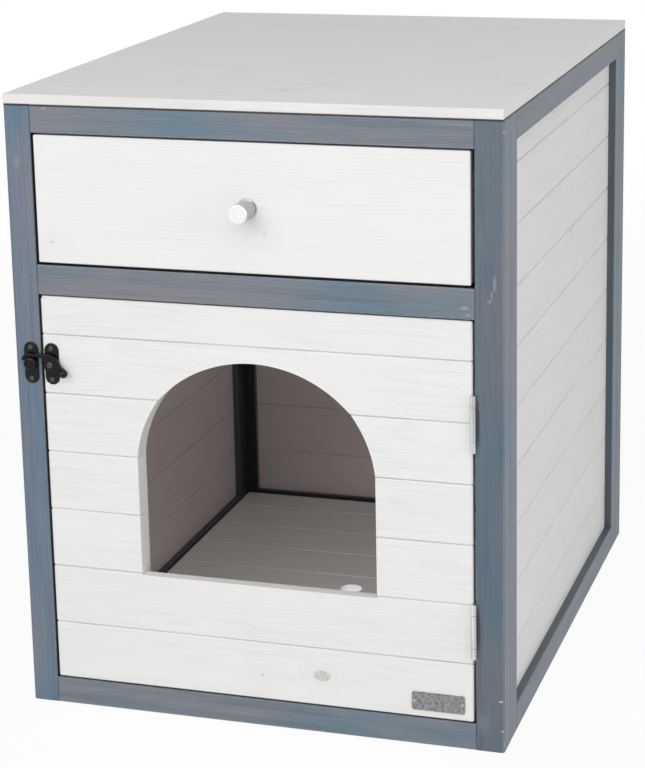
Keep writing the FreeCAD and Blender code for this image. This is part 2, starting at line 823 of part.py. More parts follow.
def hinge_screws(level, side, sign):
    """The two screws of one hinge leaf, driven away from the pin."""
    face = "hinge_x" + (" - " if sign < 0 else " + ") + "(door_gap_hinge / 2 - hinge_leaf_thickness)"
    outwards = "-x" if sign < 0 else "+x"
    screws = []
    for end, way in {"low": -1, "high": 1}.items():
        height = f"{level}_hinge_middle + {way} * (hinge_height / 2 - hinge_screw_inset)"
        screws.append(countersunk_screw(
            f"{level}_hinge_{side}_screw_{end}", (face, "front + hinge_screw_setback", height), outwards,
            "small_screw_length", "small_screw_radius", "small_screw_head", "small_screw_head_depth"))
    return screws


def hinge(level, door_screws, frame_screws):
    """A butt hinge: the frame leaf has the two end knuckles, the door leaf the middle one."""
    middle = f"{level}_hinge_middle"
    low, high = f"{middle} - hinge_height / 2", f"{middle} + hinge_height / 2"
    knuckle_low, knuckle_high = f"{low} + hinge_end_knuckle", f"{high} - hinge_end_knuckle"
    leaf_back = "front + hinge_leaf_depth"
    pin = rod(f"{level}_hinge_pin", ("hinge_x", "hinge_y", low), "+z", "hinge_pin_radius", "hinge_height")
    bore = rod(f"{level}_hinge_bore", ("hinge_x", "hinge_y", low), "+z",
               "hinge_pin_radius + hinge_pin_clearance", "hinge_height")
    name = f"{level}_hinge_door_leaf"
    door_edge = ("hinge_x - door_gap_hinge / 2", "hinge_x - door_gap_hinge / 2 + hinge_leaf_thickness")
    plate = block(name + "_plate", door_edge, ("front", leaf_back), (low, high))
    arm_span = (f"{knuckle_low} + hinge_knuckle_gap", f"{knuckle_high} - hinge_knuckle_gap")
    arm = block(name + "_arm", door_edge, ("hinge_y", "front"), arm_span)
    knuckle = rod(name + "_knuckle", ("hinge_x", "hinge_y", arm_span[0]), "+z", "hinge_barrel_radius",
                  "hinge_height - 2 * (hinge_end_knuckle + hinge_knuckle_gap)")
    node(name, cut(name, fuse(name, plate, arm, knuckle), bore, door_screws))
    name = f"{level}_hinge_frame_leaf"
    frame_edge = ("hinge_x + door_gap_hinge / 2 - hinge_leaf_thickness", "hinge_x + door_gap_hinge / 2")
    plate = block(name + "_plate", frame_edge, ("front", leaf_back), (low, high))
    pieces = []
    for end, start in {"low": low, "high": knuckle_high}.items():
        spans = (start, f"{start} + hinge_end_knuckle")
        pieces.append(block(f"{name}_arm_{end}", frame_edge, ("hinge_y", "front"), spans))
        pieces.append(rod(f"{name}_knuckle_{end}", ("hinge_x", "hinge_y", start), "+z",
                          "hinge_barrel_radius", "hinge_end_knuckle"))
    node(name, cut(name, fuse(name, plate, *pieces), pin, frame_screws))
    return pin


def latch_plate(name, x):
    """A plate with round ends and a softened outer rim."""
    radius = "latch_plate_width / 2"
    half = "latch_plate_height / 2 - latch_plate_width / 2"
    thick = ("latch_face", "front")
    bar = block(name + "_bar", (f"{x} - {radius}", f"{x} + {radius}"), thick,
                (f"latch_middle - ({half})", f"latch_middle + ({half})"))
    ends = [rod(f"{name}_{end}", (x, "front", f"latch_middle {sign} ({half})"), "-y", radius,
                "latch_plate_thickness") for end, sign in {"low": "-", "high": "+"}.items()]
    plate = fuse(name + "_plate", bar, *ends)
    tidy = doc.addObject("Part::Refine", name + "_refined")
    tidy.Source = plate
    doc.recompute()
    return rounded(name + "_soft", tidy, rims_towards(tidy, DIRECTIONS["-y"]), size("latch_plate_round"))


def latch_screws(name, x):
    """Two round-headed screws, above and below the middle of a latch plate."""
    screws = []
    for end, sign in {"low": "-", "high": "+"}.items():
        height = f"latch_middle {sign} latch_screw_spacing / 2"
        head = round_head(f"{name}_{end}_head", (x, "latch_face", height), "-y",
                          "latch_screw_head", "latch_screw_head_height")
        shank = rod(f"{name}_{end}_shank", (x, "latch_face", height), "+y",
                    "small_screw_radius", "small_screw_length")
        screws.append(fuse(f"{name}_{end}", head, shank))
    return screws


def latch_keeper(screws):
    """The plate on the stile, with a necked boss that the hook drops over."""
    plate = latch_plate("latch_keeper", "keeper_x")
    neck = rod("boss_neck", ("keeper_x", "front", "latch_middle"), "-y", "boss_neck_radius",
               "boss_head_start + boss_head_thickness / 2")
    blank = rod("boss_head_blank", ("keeper_x", "front - boss_head_start", "latch_middle"), "-y",
                "boss_head_radius", "boss_head_thickness")
    head = rounded("boss_head", blank, rims_towards(blank, DIRECTIONS["-y"]), size("boss_head_round"))
    ring = doc.addObject("Part::Torus", "boss_ring")
    bind(ring, Radius1="boss_ring_radius", Radius2="boss_ring_groove")
    place(ring, "keeper_x", "front - boss_head_start - boss_head_thickness", "latch_middle", "-y")
    node("latch_keeper", cut("latch_keeper", fuse("keeper", plate, neck, head), ring, screws))


def latch_base(screws):
    """The plate on the door, with a low hub that the arm turns on, and the rivet through it."""
    plate = latch_plate("latch_base", "latch_x")
    hub = rod("latch_hub", ("latch_x", "front", "latch_middle"), "-y", "hub_radius",
              "latch_plate_thickness + hub_height")
    shank_length = "latch_plate_thickness + hub_height + arm_thickness + 2 * rest_clearance"
    shank = rod("rivet_shank", ("latch_x", "front", "latch_middle"), "-y", "rivet_radius", shank_length)
    head = round_head("rivet_head", ("latch_x", "arm_face - rest_clearance", "latch_middle"), "-y",
                      "rivet_head_radius", "rivet_head_height")
    rivet = node("latch_rivet", fuse("rivet", shank, head))
    node("latch_base", cut("latch_base", fuse("base", plate, hub), rivet, screws))


# The arm's outline, going round from the hook's tip. The hook's places are (share of the arm's
# width outside the ring round the boss, degrees round the boss), the middle's are (hub radii
# from the pivot, degrees), and the tail's are (ball radii from the ball's centre, degrees).
HOOK_INSIDE = ((0, 150), (0, 120), (0, 90), (0.1, 62))
ARM_BELOW = ((2.516, 152.5), (1.857, 146.8), (1.317, 159.4), (1.191, 193), (1.252, 227.9),
             (1.196, 270), (1.443, 306.4))
TAIL_ROUND = ((0.56, 235), (0.56, -35), (0.56, 40))
ARM_ABOVE = ((1.867, -9.9), (1.516, 15), (1.479, 47.4), (1.562, 79.5), (1.841, 109.8),
             (2.363, 132.9), (3.041, 145.3))
HOOK_OUTSIDE = ((1, 66), (1, 95), (0.93, 125), (0.83, 148), (0.5, 160))
TAIL_BALL_AT = (2.65, -28)


def ring_point(centre, radius, degrees):
    """A point on a circle, as across and up."""
    turn = radians(degrees)
    return (centre[0] + radius * cos(turn), centre[1] + radius * sin(turn))


def arm_outline(boss, ball):
    """The arm's closed outline about its pivot, as a smooth curve through named places."""
    hub = size("hub_radius")
    inner = size("boss_head_radius") + size("arm_clearance")
    width = size("arm_width")
    places = [ring_point(boss, inner + width * share, degrees) for share, degrees in HOOK_INSIDE]
    places += [ring_point((0, 0), hub * radii, degrees) for radii, degrees in ARM_BELOW]
    places += [ring_point(ball, size("tail_ball_radius") * radii, degrees) for radii, degrees in TAIL_ROUND]
    places += [ring_point((0, 0), hub * radii, degrees) for radii, degrees in ARM_ABOVE]
    places += [ring_point(boss, inner + width * share, degrees) for share, degrees in HOOK_OUTSIDE]
    curve = Part.BSplineCurve()
    curve.interpolate([FreeCAD.Vector(across, 0, up) for across, up in places], PeriodicFlag=True)
    return curve


def latch_arm():
    """The forged arm: a hook over the boss, a broad middle on the hub and a tail with a ball.

    The hook keeps clear of the boss's head, so that the door can be drawn open past it. The
    outline is drawn about the pivot at the origin, and the arm is then put on its pivot.
    """
    outwards = DIRECTIONS["-y"]
    thick = size("arm_thickness")
    boss = (size("keeper_inset") - size("latch_base_inset"), 0)
    radii, degrees = TAIL_BALL_AT
    ball = ring_point((0, 0), size("hub_radius") * radii, degrees)
    bar = Part.Face(Part.Wire(arm_outline(boss, ball).toShape())).extrude(outwards * thick)
    rim = [edge for edge in bar.Edges
           if all(abs(point.dot(outwards) - thick) < 0.001 for point in edge.discretize(3))]
    centre = FreeCAD.Vector(ball[0], -size("tail_ball_lift"), ball[1])
    forged = bar.makeFillet(size("arm_round"), rim).fuse(Part.makeSphere(size("tail_ball_radius"), centre))
    bore = size("rivet_radius") + size("rest_clearance")
    hole = Part.makeCylinder(bore, 4 * thick, FreeCAD.Vector(0, 2 * thick, 0), outwards)
    arm = doc.addObject("Part::Feature", "latch_arm_forged")
    arm.Shape = forged.cut(hole)
    place(arm, "latch_x", "arm_back", "latch_middle")
    node("latch_arm", arm)


def door_plate():
    """The bare metal plate at the foot of the door, and its two pins."""
    pins = []
    for side, sign in {"left": "-", "right": "+"}.items():
        x = f"plate_x {sign} (plate_width / 2 - plate_pin_inset)"
        face = "front - plate_thickness"
        head = round_head(f"plate_pin_{side}_head", (x, face, "plate_z"), "-y",
                          "plate_pin_head", "plate_pin_head_height")
        shank = rod(f"plate_pin_{side}_shank", (x, face, "plate_z"), "+y",
                    "plate_pin_radius", "plate_pin_length")
        pins.append(fuse(f"plate_pin_{side}", head, shank))
    pin_pair = node("door_plate_pins", group("plate_pin_pair", pins))
    blank = block("door_plate_blank", ("plate_x - plate_width / 2", "plate_x + plate_width / 2"),
                  ("front - plate_thickness", "front"),
                  ("plate_z - plate_height / 2", "plate_z + plate_height / 2"))
    plate = rounded("door_plate_rounded", blank, edges_along(blank, "y"), size("plate_corner"))
    node("door_plate", cut("door_plate", plate, pin_pair))
    return pin_pair


def check_and_write():
    """Stops on any failed object or bad shape, and then writes one file for each sub-part."""
    doc.recompute()
    failed = [thing.Name for thing in doc.Objects if "Invalid" in thing.State or "Error" in thing.State]
    if failed:
        raise RuntimeError("failed objects: " + ", ".join(failed))
    for piece in nodes:
        if piece.Shape.isNull() or not piece.Shape.isValid() or not piece.Shape.Solids:
            raise RuntimeError("bad shape: " + piece.Label)
    os.makedirs("parts", exist_ok=True)
    for piece in nodes:
        piece.Shape.exportStep(f"parts/{piece.Label}.step")
    print(len(nodes), "sub-parts written")


def build():
    fill_sheet()
    screws = node("frame_screws", frame_fasteners())
    hinge_sides = {"door": -1, "frame": 1}
    leaf_screws = {}
    for side, sign in hinge_sides.items():
        both = hinge_screws("upper", side, sign) + hinge_screws("lower", side, sign)
        leaf_screws[side] = node(f"hinge_{side}_screws", group(f"hinge_{side}_screw_set", both))
    keeper_screws = node("latch_keeper_screws",
                         group("keeper_screw_pair", latch_screws("keeper_screw", "keeper_x")))
    base_screws = node("latch_base_screws",
                       group("base_screw_pair", latch_screws("base_screw", "latch_x")))
    front_frame(screws, leaf_screws["frame"], keeper_screws)
    for side, sign in SIDES.items():
        side_frame(side, sign, screws)
    back_frame()
    top_board()
    floor_cleats()
    lift_out_floor()
    drawer_guides()
    drawer()
    knob()
    plate_pins = door_plate()
    door(leaf_screws["door"], base_screws, plate_pins)
    pins = [hinge(level, leaf_screws["door"], leaf_screws["frame"]) for level in ("upper", "lower")]
    node("hinge_pins", group("hinge_pin_pair", pins))
    latch_keeper(keeper_screws)
    latch_base(base_screws)
    latch_arm()
    check_and_write()


build()
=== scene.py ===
# %% [markdown]
# # A cat house in stained and white-washed softwood
#
# The object is a small cabinet for a cat: a frame of square battens under a blue-grey
# stain, rows of tongued boards under a white wash, a drawer with a polished knob, and a
# hinged door with an arch sawn through it. The CAD model is already to size, so it could
# be copied piece by piece in Blender, but its own meshes are exact and carry the joints.
# This lesson therefore loads it as a fixed frame and gives every piece its finish.

# %% Load the CAD frame
import math

import bpy
from mathutils import Matrix

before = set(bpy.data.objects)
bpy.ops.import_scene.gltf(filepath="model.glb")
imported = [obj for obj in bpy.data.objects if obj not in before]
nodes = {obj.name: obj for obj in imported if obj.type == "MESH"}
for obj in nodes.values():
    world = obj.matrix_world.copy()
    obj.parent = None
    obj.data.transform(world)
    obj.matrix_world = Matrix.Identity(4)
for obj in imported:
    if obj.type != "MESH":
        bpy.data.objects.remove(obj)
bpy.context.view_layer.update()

# %% [markdown]
# ## Colours and nodes
#
# Colours are read off a screen as sRGB hex values, but light adds up in linear values, so
# one function turns the first into the second. Materials are node trees. They could be
# wired with a dozen lines per node; one function that makes a node, sets its options and
# plugs in its sockets keeps each line about what the node does. A finish is a stack of
# thin coats, so a third function lays one colour over another.


# %% Helpers
def linear(code):
    """An sRGB hex colour such as "#e8e6e2" as linear red, green, blue and alpha. Each channel
    is divided by 12.92 near black, and is a power of 2.4 of it above."""
    channels = [int(code[i:i + 2], 16) / 255 for i in (1, 3, 5)]
    return (*(value / 12.92 if value <= 0.04045 else ((value + 0.055) / 1.055) ** 2.4
              for value in channels), 1.0)


def add(tree, kind, sockets=(), **options):
    """Adds a node. options are the node's own settings. sockets maps an input's name or
    number to another node's output, which is linked, or to a value, which is set."""
    node = tree.nodes.new("ShaderNode" + kind)
    for name, option in options.items():
        setattr(node, name, option)
    for name, value in dict(sockets).items():
        if isinstance(value, bpy.types.NodeSocket):
            tree.links.new(value, node.inputs[name])
        else:
            node.inputs[name].default_value = value
    return node


def layered(tree, colour, *layers):
    """The colour under each (share, colour) of layers in turn. A layer's result is
    colour x (1 - share) + layer's colour x share."""
    for share, over in layers:
        colour = add(tree, "Mix", {0: share, 6: colour, 7: over}, data_type="RGBA").outputs[2]
    return colour


def new_material(name):
    """A material with an empty node tree, and that tree."""
    material = bpy.data.materials.new(name)
    material.use_nodes = True
    material.node_tree.nodes.clear()
    return material, material.node_tree


# %% [markdown]
# ## The camera
#
# The picture was taken from the right and a little above, with the upright edges kept
# nearly parallel by a shifted lens. A fit to the cabinet's corners gives the camera's
# place, its three directions and its lens, and these are used as they are.

# %% Camera
CAMERA_PLACE = (0.63413, -2.05459, 0.88260)
CAMERA_RIGHT = (0.9541536, 0.29864836, -0.02000183)
CAMERA_UP = (-0.05278795, 0.23367679, 0.97088032)
CAMERA_FORWARD = (-0.29462578, 0.92531309, -0.23872858)
LENS_MM = 105.75
SENSOR_MM = 36
SHIFT_UP = -0.14
FARTHEST_SEEN = 100

camera_data = bpy.data.cameras.new("camera")
camera_data.lens = LENS_MM
camera_data.sensor_width = SENSOR_MM
camera_data.shift_y = SHIFT_UP
camera_data.clip_end = FARTHEST_SEEN
camera = bpy.data.objects.new("camera", camera_data)
backward = [-value for value in CAMERA_FORWARD]
turn = Matrix((CAMERA_RIGHT, CAMERA_UP, backward)).transposed()
camera.matrix_world = Matrix.Translation(CAMERA_PLACE) @ turn.to_4x4()
bpy.context.scene.collection.objects.link(camera)
bpy.context.scene.camera = camera
print("camera at", [round(value, 3) for value in camera.location])

# %% [markdown]
# ## Light, background and floor
#
# The cabinet stands in a white studio. An even white world lights it from all round. A
# broad lamp high in front lights the top, a lower one on the left shines through the arch
# onto the floor inside and gives the knob its faint shadow, and one on the right lifts the
# side. One lamp alone would leave the side too dark or the front too bright. A fourth is
# tiny and weak: it only puts sharp highlights on the latch and the knob. A fifth, very
# weak, hangs inside under the drawer, because the arch lets in too little light to show
# the boards of the inner walls. A sixth, no wider than a coin, lies on the ground below the
# floor's finger hole, whose rim is bright in the picture.
# A lamp's share is the light it gives a white card held up to it, next to a world of
# strength 1. A square lamp of P watts does that at distance d with P = share (pi d)^2.
# The background has to be white without more light on the object, so the world is only
# at full strength for the rays that look at it: those of the camera, reflections and
# glass. The floor mixes a plain matt white with a glow that those same rays see, which
# leaves only a trace of a shadow under the cabinet.

# %% World, lamps and floor
WORLD_LIGHT = 0.28
MIDDLE = (0, -0.1, 0.3)
CAVE_FLOOR = (0, 0.02, 0.025)
FINGER_HOLE = (0, 0.012, 0.0225)
# Name, aim, azimuth and elevation in degrees, distance and size in metres, share
LAMPS = [
    ("high front lamp", MIDDLE, 25, 48, 3.4, 3.0, 0.33),
    ("left lamp", MIDDLE, -18, 27, 3.4, 2.4, 0.345),
    ("right lamp", MIDDLE, 70, 14, 3.4, 2.2, 0.23),
    ("sparkle lamp", MIDDLE, -34, 44, 3.0, 0.15, 0.02),
    ("inner lamp", CAVE_FLOOR, 0, 90, 0.36, 0.34, 0.06),
    ("hole lamp", FINGER_HOLE, 0, -90, 0.0215, 0.03, 0.95),
]
FLOOR_HALF = 15
FLOOR_PAPER = "#f2f2f2"
FLOOR_GLOW_NEAR = 0.93
FLOOR_GLOW_REACH = (0.5, 3.0)


def looking_rays(tree):
    """1 for rays of the camera, of reflections and through glass, and 0 for the others:
    the three flags of Light Path added up, and held at 1."""
    path = add(tree, "LightPath").outputs
    two = add(tree, "Math", {0: path["Is Camera Ray"], 1: path["Is Glossy Ray"]}).outputs[0]
    return add(tree, "Math", {0: two, 1: path["Is Transmission Ray"]}, use_clamp=True).outputs[0]


world = bpy.data.worlds.new("white studio")
world.use_nodes = True
tree = world.node_tree
tree.nodes.clear()
strength = add(tree, "MapRange", {
    "Value": looking_rays(tree), "To Min": WORLD_LIGHT, "To Max": 1.0}).outputs[0]
background = add(tree, "Background", {"Color": (1, 1, 1, 1), "Strength": strength}).outputs[0]
add(tree, "OutputWorld", {"Surface": background})
bpy.context.scene.world = world

for name, aim, azimuth, elevation, distance, size, share in LAMPS:
    light = bpy.data.lights.new(name, "AREA")
    light.size = size
    light.energy = share * (math.pi * distance) ** 2
    sideways = Matrix.Rotation(math.radians(azimuth), 4, "Z")
    towards = sideways @ Matrix.Rotation(math.pi / 2 - math.radians(elevation), 4, "X")
    lamp = bpy.data.objects.new(name, light)
    lamp.matrix_world = Matrix.Translation(aim) @ towards @ Matrix.Translation((0, 0, distance))
    bpy.context.scene.collection.objects.link(lamp)
    print(name, "at", [round(value, 2) for value in lamp.matrix_world.translation])

corners = [(x * FLOOR_HALF, y * FLOOR_HALF, 0) for x, y in ((-1, -1), (1, -1), (1, 1), (-1, 1))]
floor_mesh = bpy.data.meshes.new("studio_floor")
floor_mesh.from_pydata(corners, [], [(0, 1, 2, 3)])
floor = bpy.data.objects.new("studio_floor", floor_mesh)
bpy.context.scene.collection.objects.link(floor)

paper, tree = new_material("white studio paper")
place = add(tree, "TexCoord").outputs["Object"]
from_middle = add(tree, "VectorMath", {0: place}, operation="LENGTH").outputs["Value"]
glow = add(tree, "MapRange", {
    "Value": from_middle, "From Min": FLOOR_GLOW_REACH[0], "From Max": FLOOR_GLOW_REACH[1],
    "To Min": FLOOR_GLOW_NEAR, "To Max": 1.0}, interpolation_type="SMOOTHSTEP").outputs[0]
seen = add(tree, "Math", {0: looking_rays(tree), 1: glow}, operation="MULTIPLY").outputs[0]
matt = add(tree, "BsdfDiffuse", {"Color": linear(FLOOR_PAPER)}).outputs[0]
shining = add(tree, "Emission", {"Color": (1, 1, 1, 1), "Strength": 1.0}).outputs[0]
mixed = add(tree, "MixShader", {0: seen, 1: matt, 2: shining}).outputs[0]
add(tree, "OutputMaterial", {"Surface": mixed})
floor.data.materials.append(paper)

bpy.context.scene.view_settings.view_transform = "Standard"

# %% [markdown]
# ## Solid wood as a pattern in space
#
# Softwood is made of rings round the pith, the middle of the trunk: a broad pale band
# grown in spring and a thin dark one grown in summer, 2 to 4 mm apart. A board is a flat
# cut through them, which is why its face shows long pointed arches where the rings lie
# flat in it, and straight lines where they stand upright. A flat picture of grain could
# be laid on each face, but it would not meet round an edge. So the rings are worked out
# in space: a ring's number is the distance from a pith line that runs along the board a
# little below it, pushed about by slow noise and by the knots that the grain flows round.
# Each board has its own pith, picked by a random number from the board's own number.

# %% The wood figure
X, Y, Z = 0, 1, 2
WARP_MM = 7
PITH_LEAN = 0.03
PITH_ASIDE_MM = 26.0
PITH_DEPTH_MM = (14.0, 60.0)
# How much summer wood there is along one ring, from none at its start: little at half of
# it, most at the dark band, and a sharp end
RING_STOPS = [(0.50, 0.10), (0.90, 1.0), (1.0, 0.0)]
KNOT_STRETCH = 1.5
KNOT_MM = 1.5
KNOT_FLOW_MM = 20
KNOT_PUSH_MM = 11.0
KNOT_CELL_MM = 75.0
KNOT_EDGE_MM = 1.9
KNOT_FRAY_MM = 1.6
NO_KNOT_MM = 400.0
JOINT_MM = 0.8
CUT_WEIGHT = 37.0
BOARD_SHIFT_MM = 9000.0
# Noises of the wood: size along the grain and across it in mm, detail, roughness
GRAIN_NOISES = {
    "warp": (170, 42, 2.0, 0.45),
    "fibre": (46, 1 / 1.05, 3.0, 0.6),
    "streak": (190, 5, 2.0, 0.5),
    "cloud": (120, 38, 3.0, 0.5),
}


def board_number(tree, parts, row, first_joint, pitch, cuts):
    """A whole number for each board. In a row it is the count of pitches from the first
    joint, rounded down, and each cut (axis, place) that lies before the point adds to it."""
    steps = add(tree, "Math", {0: parts[row], 1: first_joint}, operation="SUBTRACT").outputs[0]
    steps = add(tree, "Math", {0: steps, 1: pitch}, operation="DIVIDE").outputs[0]
    number = add(tree, "Math", {0: steps}, operation="FLOOR").outputs[0]
    weight = CUT_WEIGHT
    for axis, place in cuts:
        beyond = add(tree, "Math", {0: parts[axis], 1: place}, operation="GREATER_THAN").outputs[0]
        number = add(tree, "Math", {0: beyond, 1: weight, 2: number},
                     operation="MULTIPLY_ADD").outputs[0]
        weight = weight * 2
    return number


def knot_figure(tree, local, parts, grain, row, knots, stray_knots):
    """Two sockets: one is 1 in a knot, and the other is 1 at its middle and fades to 0 at
    KNOT_FLOW_MM from there. The knots are the placed ones, and a random one in a share
    stray_knots of the cells of a scatter. The nearest of them counts."""
    flat = add(tree, "CombineXYZ", {0: parts[grain], 1: parts[row]}).outputs[0]
    flat = add(tree, "VectorMath", {0: flat, 1: (1 / KNOT_STRETCH, 1, 1)},
               operation="MULTIPLY").outputs[0]
    distances = []
    for along, across, radius in knots:
        centre = (along / KNOT_STRETCH, across, 0)
        away = add(tree, "VectorMath", {0: flat, 1: centre}, operation="DISTANCE").outputs["Value"]
        distances.append((away, radius))
    if stray_knots:
        scattered = add(tree, "VectorMath", {0: local, 1: (1 / KNOT_STRETCH, 1, 0)},
                        operation="MULTIPLY").outputs[0]
        cells = add(tree, "TexVoronoi", {"Vector": scattered, "Scale": 1 / KNOT_CELL_MM},
                    voronoi_dimensions="2D").outputs
        picked = add(tree, "SeparateColor", {0: cells["Color"]}).outputs[0]
        missing = add(tree, "Math", {0: picked, 1: stray_knots},
                      operation="GREATER_THAN").outputs[0]
        away = add(tree, "Math", {0: missing, 1: NO_KNOT_MM}, operation="MULTIPLY").outputs[0]
        away = add(tree, "Math", {0: cells["Distance"], 1: KNOT_CELL_MM, 2: away},
                   operation="MULTIPLY_ADD").outputs[0]
        distances.append((away, KNOT_MM))
    nearest = outside = NO_KNOT_MM
    for away, radius in distances:
        beyond = add(tree, "Math", {0: away, 1: radius}, operation="SUBTRACT").outputs[0]
        nearest = add(tree, "Math", {0: nearest, 1: away}, operation="MINIMUM").outputs[0]
        outside = add(tree, "Math", {0: outside, 1: beyond}, operation="MINIMUM").outputs[0]

    # A frayed outline, and a mottled inside
    ragged = add(tree, "TexNoise", {"Vector": local, "Scale": 0.5, "Detail": 2.0}).outputs["Fac"]
    frayed = add(tree, "Math", {0: ragged, 1: KNOT_FRAY_MM, 2: outside},
                 operation="MULTIPLY_ADD").outputs[0]
    knot = add(tree, "MapRange", {
        "Value": frayed, "From Min": KNOT_EDGE_MM, "From Max": 0.0, "To Min": 0.0,
        "To Max": 1.0}, interpolation_type="SMOOTHSTEP").outputs[0]
    mottle = add(tree, "MapRange", {
        "Value": ragged, "From Min": 0.38, "From Max": 0.60, "To Min": 0.45,
        "To Max": 1.0}).outputs[0]
    knot = add(tree, "Math", {0: knot, 1: mottle}, operation="MULTIPLY").outputs[0]
    halo = add(tree, "MapRange", {
        "Value": nearest, "From Min": KNOT_FLOW_MM, "From Max": 0.0, "To Min": 0.0, "To Max": 1.0},
        interpolation_type="SMOOTHSTEP").outputs[0]
    return knot, halo


def wood_figure(tree, grain, row, first_joint=-5000.0, pitch=10000.0, cuts=(), face=0.0,
                ring_mm=3.0, knots=(), stray_knots=0.0, seed=0.0):
    """The figure of solid wood, as a dictionary of sockets. grain is the axis the wood runs
    along, and row the axis the boards lie side by side on. rings is 0 to 1, high in the dark
    summer wood; fibre and streak are fine and broad lines along the grain; cloud is a slow
    blotch; knot and halo are 1 in a knot and round it, and each placed knot is (along,
    across, radius); joint is 1 where two boards meet; luck is the board's own random number;
    parts is the place in mm, and local the same along, across and into this board's wood.
    ring number = (distance to the pith line + noise + flow round knots) / ring width."""
    deep = ({X, Y, Z} - {grain, row}).pop()
    metres = add(tree, "TexCoord").outputs["Object"]
    place = add(tree, "VectorMath", {0: metres, "Scale": 1000.0}, operation="SCALE").outputs[0]
    parts = add(tree, "SeparateXYZ", {0: place}).outputs
    number = board_number(tree, parts, row, first_joint, pitch, cuts)
    number = add(tree, "Math", {0: number, 1: seed}).outputs[0]
    chance = add(tree, "TexWhiteNoise", {"W": number}, noise_dimensions="1D").outputs["Color"]
    luck = add(tree, "SeparateColor", {0: chance}).outputs

    # Each board is moved far along its grain, so that no two show the same piece of noise
    shifted = add(tree, "Math", {0: luck[0], 1: BOARD_SHIFT_MM, 2: parts[grain]},
                  operation="MULTIPLY_ADD").outputs[0]
    local = add(tree, "CombineXYZ", {0: shifted, 1: parts[row], 2: parts[deep]}).outputs[0]
    knot, halo = knot_figure(tree, local, parts, grain, row, knots, stray_knots)
    noise = {}
    for name, (along_mm, across_mm, detail, roughness) in GRAIN_NOISES.items():
        squeeze = (1 / along_mm, 1 / across_mm, 1 / across_mm)
        squeezed = add(tree, "VectorMath", {0: local, 1: squeeze}, operation="MULTIPLY").outputs[0]
        noise[name] = add(tree, "TexNoise", {
            "Vector": squeezed, "Scale": 1.0, "Detail": detail,
            "Roughness": roughness}).outputs["Fac"]

    # Across the board from its middle, and its joint with the next
    within = add(tree, "Math", {0: parts[row], 1: first_joint}, operation="SUBTRACT").outputs[0]
    within = add(tree, "Math", {0: within, 1: pitch}, operation="FLOORED_MODULO").outputs[0]
    across = add(tree, "MapRange", {
        "Value": within, "From Max": pitch, "To Min": -pitch / 2, "To Max": pitch / 2}).outputs[0]
    edge = add(tree, "Math", {0: across}, operation="ABSOLUTE").outputs[0]
    joint = add(tree, "MapRange", {
        "Value": edge, "From Min": pitch / 2 - JOINT_MM, "From Max": pitch / 2 - JOINT_MM / 3,
        "To Min": 0.0, "To Max": 1.0}, interpolation_type="SMOOTHSTEP").outputs[0]

    # The pith line: beside the board's middle and below its face, leaning a little
    lean = add(tree, "MapRange", {
        "Value": luck[2], "To Min": -PITH_LEAN, "To Max": PITH_LEAN}).outputs[0]
    aside = add(tree, "MapRange", {
        "Value": luck[1], "To Min": -PITH_ASIDE_MM, "To Max": PITH_ASIDE_MM}).outputs[0]
    aside = add(tree, "Math", {0: parts[grain], 1: lean, 2: aside},
                operation="MULTIPLY_ADD").outputs[0]
    beside = add(tree, "Math", {0: across, 1: aside}, operation="ADD").outputs[0]
    depth = add(tree, "MapRange", {
        "Value": luck[0], "To Min": PITH_DEPTH_MM[0], "To Max": PITH_DEPTH_MM[1]}).outputs[0]
    below = add(tree, "Math", {0: parts[deep], 1: -face}).outputs[0]
    below = add(tree, "Math", {0: below}, operation="ABSOLUTE").outputs[0]
    below = add(tree, "Math", {0: depth, 1: below}).outputs[0]

    # The rings round it
    spoke = add(tree, "CombineXYZ", {0: beside, 1: below}).outputs[0]
    radius = add(tree, "VectorMath", {0: spoke}, operation="LENGTH").outputs["Value"]
    radius = add(tree, "Math", {0: noise["warp"], 1: 2.0 * WARP_MM, 2: radius},
                 operation="MULTIPLY_ADD").outputs[0]
    radius = add(tree, "Math", {0: halo, 1: KNOT_PUSH_MM, 2: radius},
                 operation="MULTIPLY_ADD").outputs[0]
    ring = add(tree, "Math", {0: radius, 1: ring_mm}, operation="DIVIDE").outputs[0]
    ring = add(tree, "Math", {0: ring}, operation="FRACT").outputs[0]
    rings = add(tree, "ValToRGB", {0: ring})
    stops = rings.color_ramp.elements
    stops.remove(stops[1])
    for position, grey in RING_STOPS:
        stops.new(position).color = (grey, grey, grey, 1)
    return {"rings": rings.outputs[0], "fibre": noise["fibre"], "streak": noise["streak"],
            "cloud": noise["cloud"], "knot": knot, "halo": halo, "joint": joint, "luck": luck[1],
            "parts": parts, "local": local}


# %% [markdown]
# ## White wash on boards
#
# The boards are planed spruce under a thin white wash. The wash hides most of the wood:
# what shows is a hint of the summer rings and fibres, a little more where it was brushed
# on thinly, and grey-brown knots that bleed through it. It could be plain white paint
# with a roughness, but at arm's length the wood under it is what makes it look real.
# The wash is matt with a slight sheen. Inside the cabinet only the warm first coat was
# sprayed, so the walls there are a touch pinkish. The back of the door is nearly neutral.
# The floor is whiter, partly its own wash and partly painted light for what it catches
# through the arch, and its joints are painted white, a painted glow of the light that
# shines up through them.

# %% Wash material
WASH = "#efefee"
WASH_THIN = "#b9b1a7"
WASH_INSIDE = "#f2e9e9"
WASH_BEHIND_DOOR = "#efebe9"
# Whiter than the walls: partly the floor's own wash, partly painted light
FLOOR_WASH_AND_PAINTED_LIGHT = "#fcfdff"
KNOT_UNDER_WASH = "#a79f97"
JOINT_SHADE = "#8d8a88"
# Painted light: white floor joints stand in for light shining up between the boards
PAINTED_LIGHT_IN_JOINTS = "#ffffff"
WASH_RELIEF_MM = 0.22
# How much of the thin colour the parts of the figure bring
RINGS_SHOW = 0.10
FIBRES_SHOW = 0.13
STREAKS_SHOW = 0.07
HALO_SHOWS = 0.045
BOARDS_DIFFER = 0.045


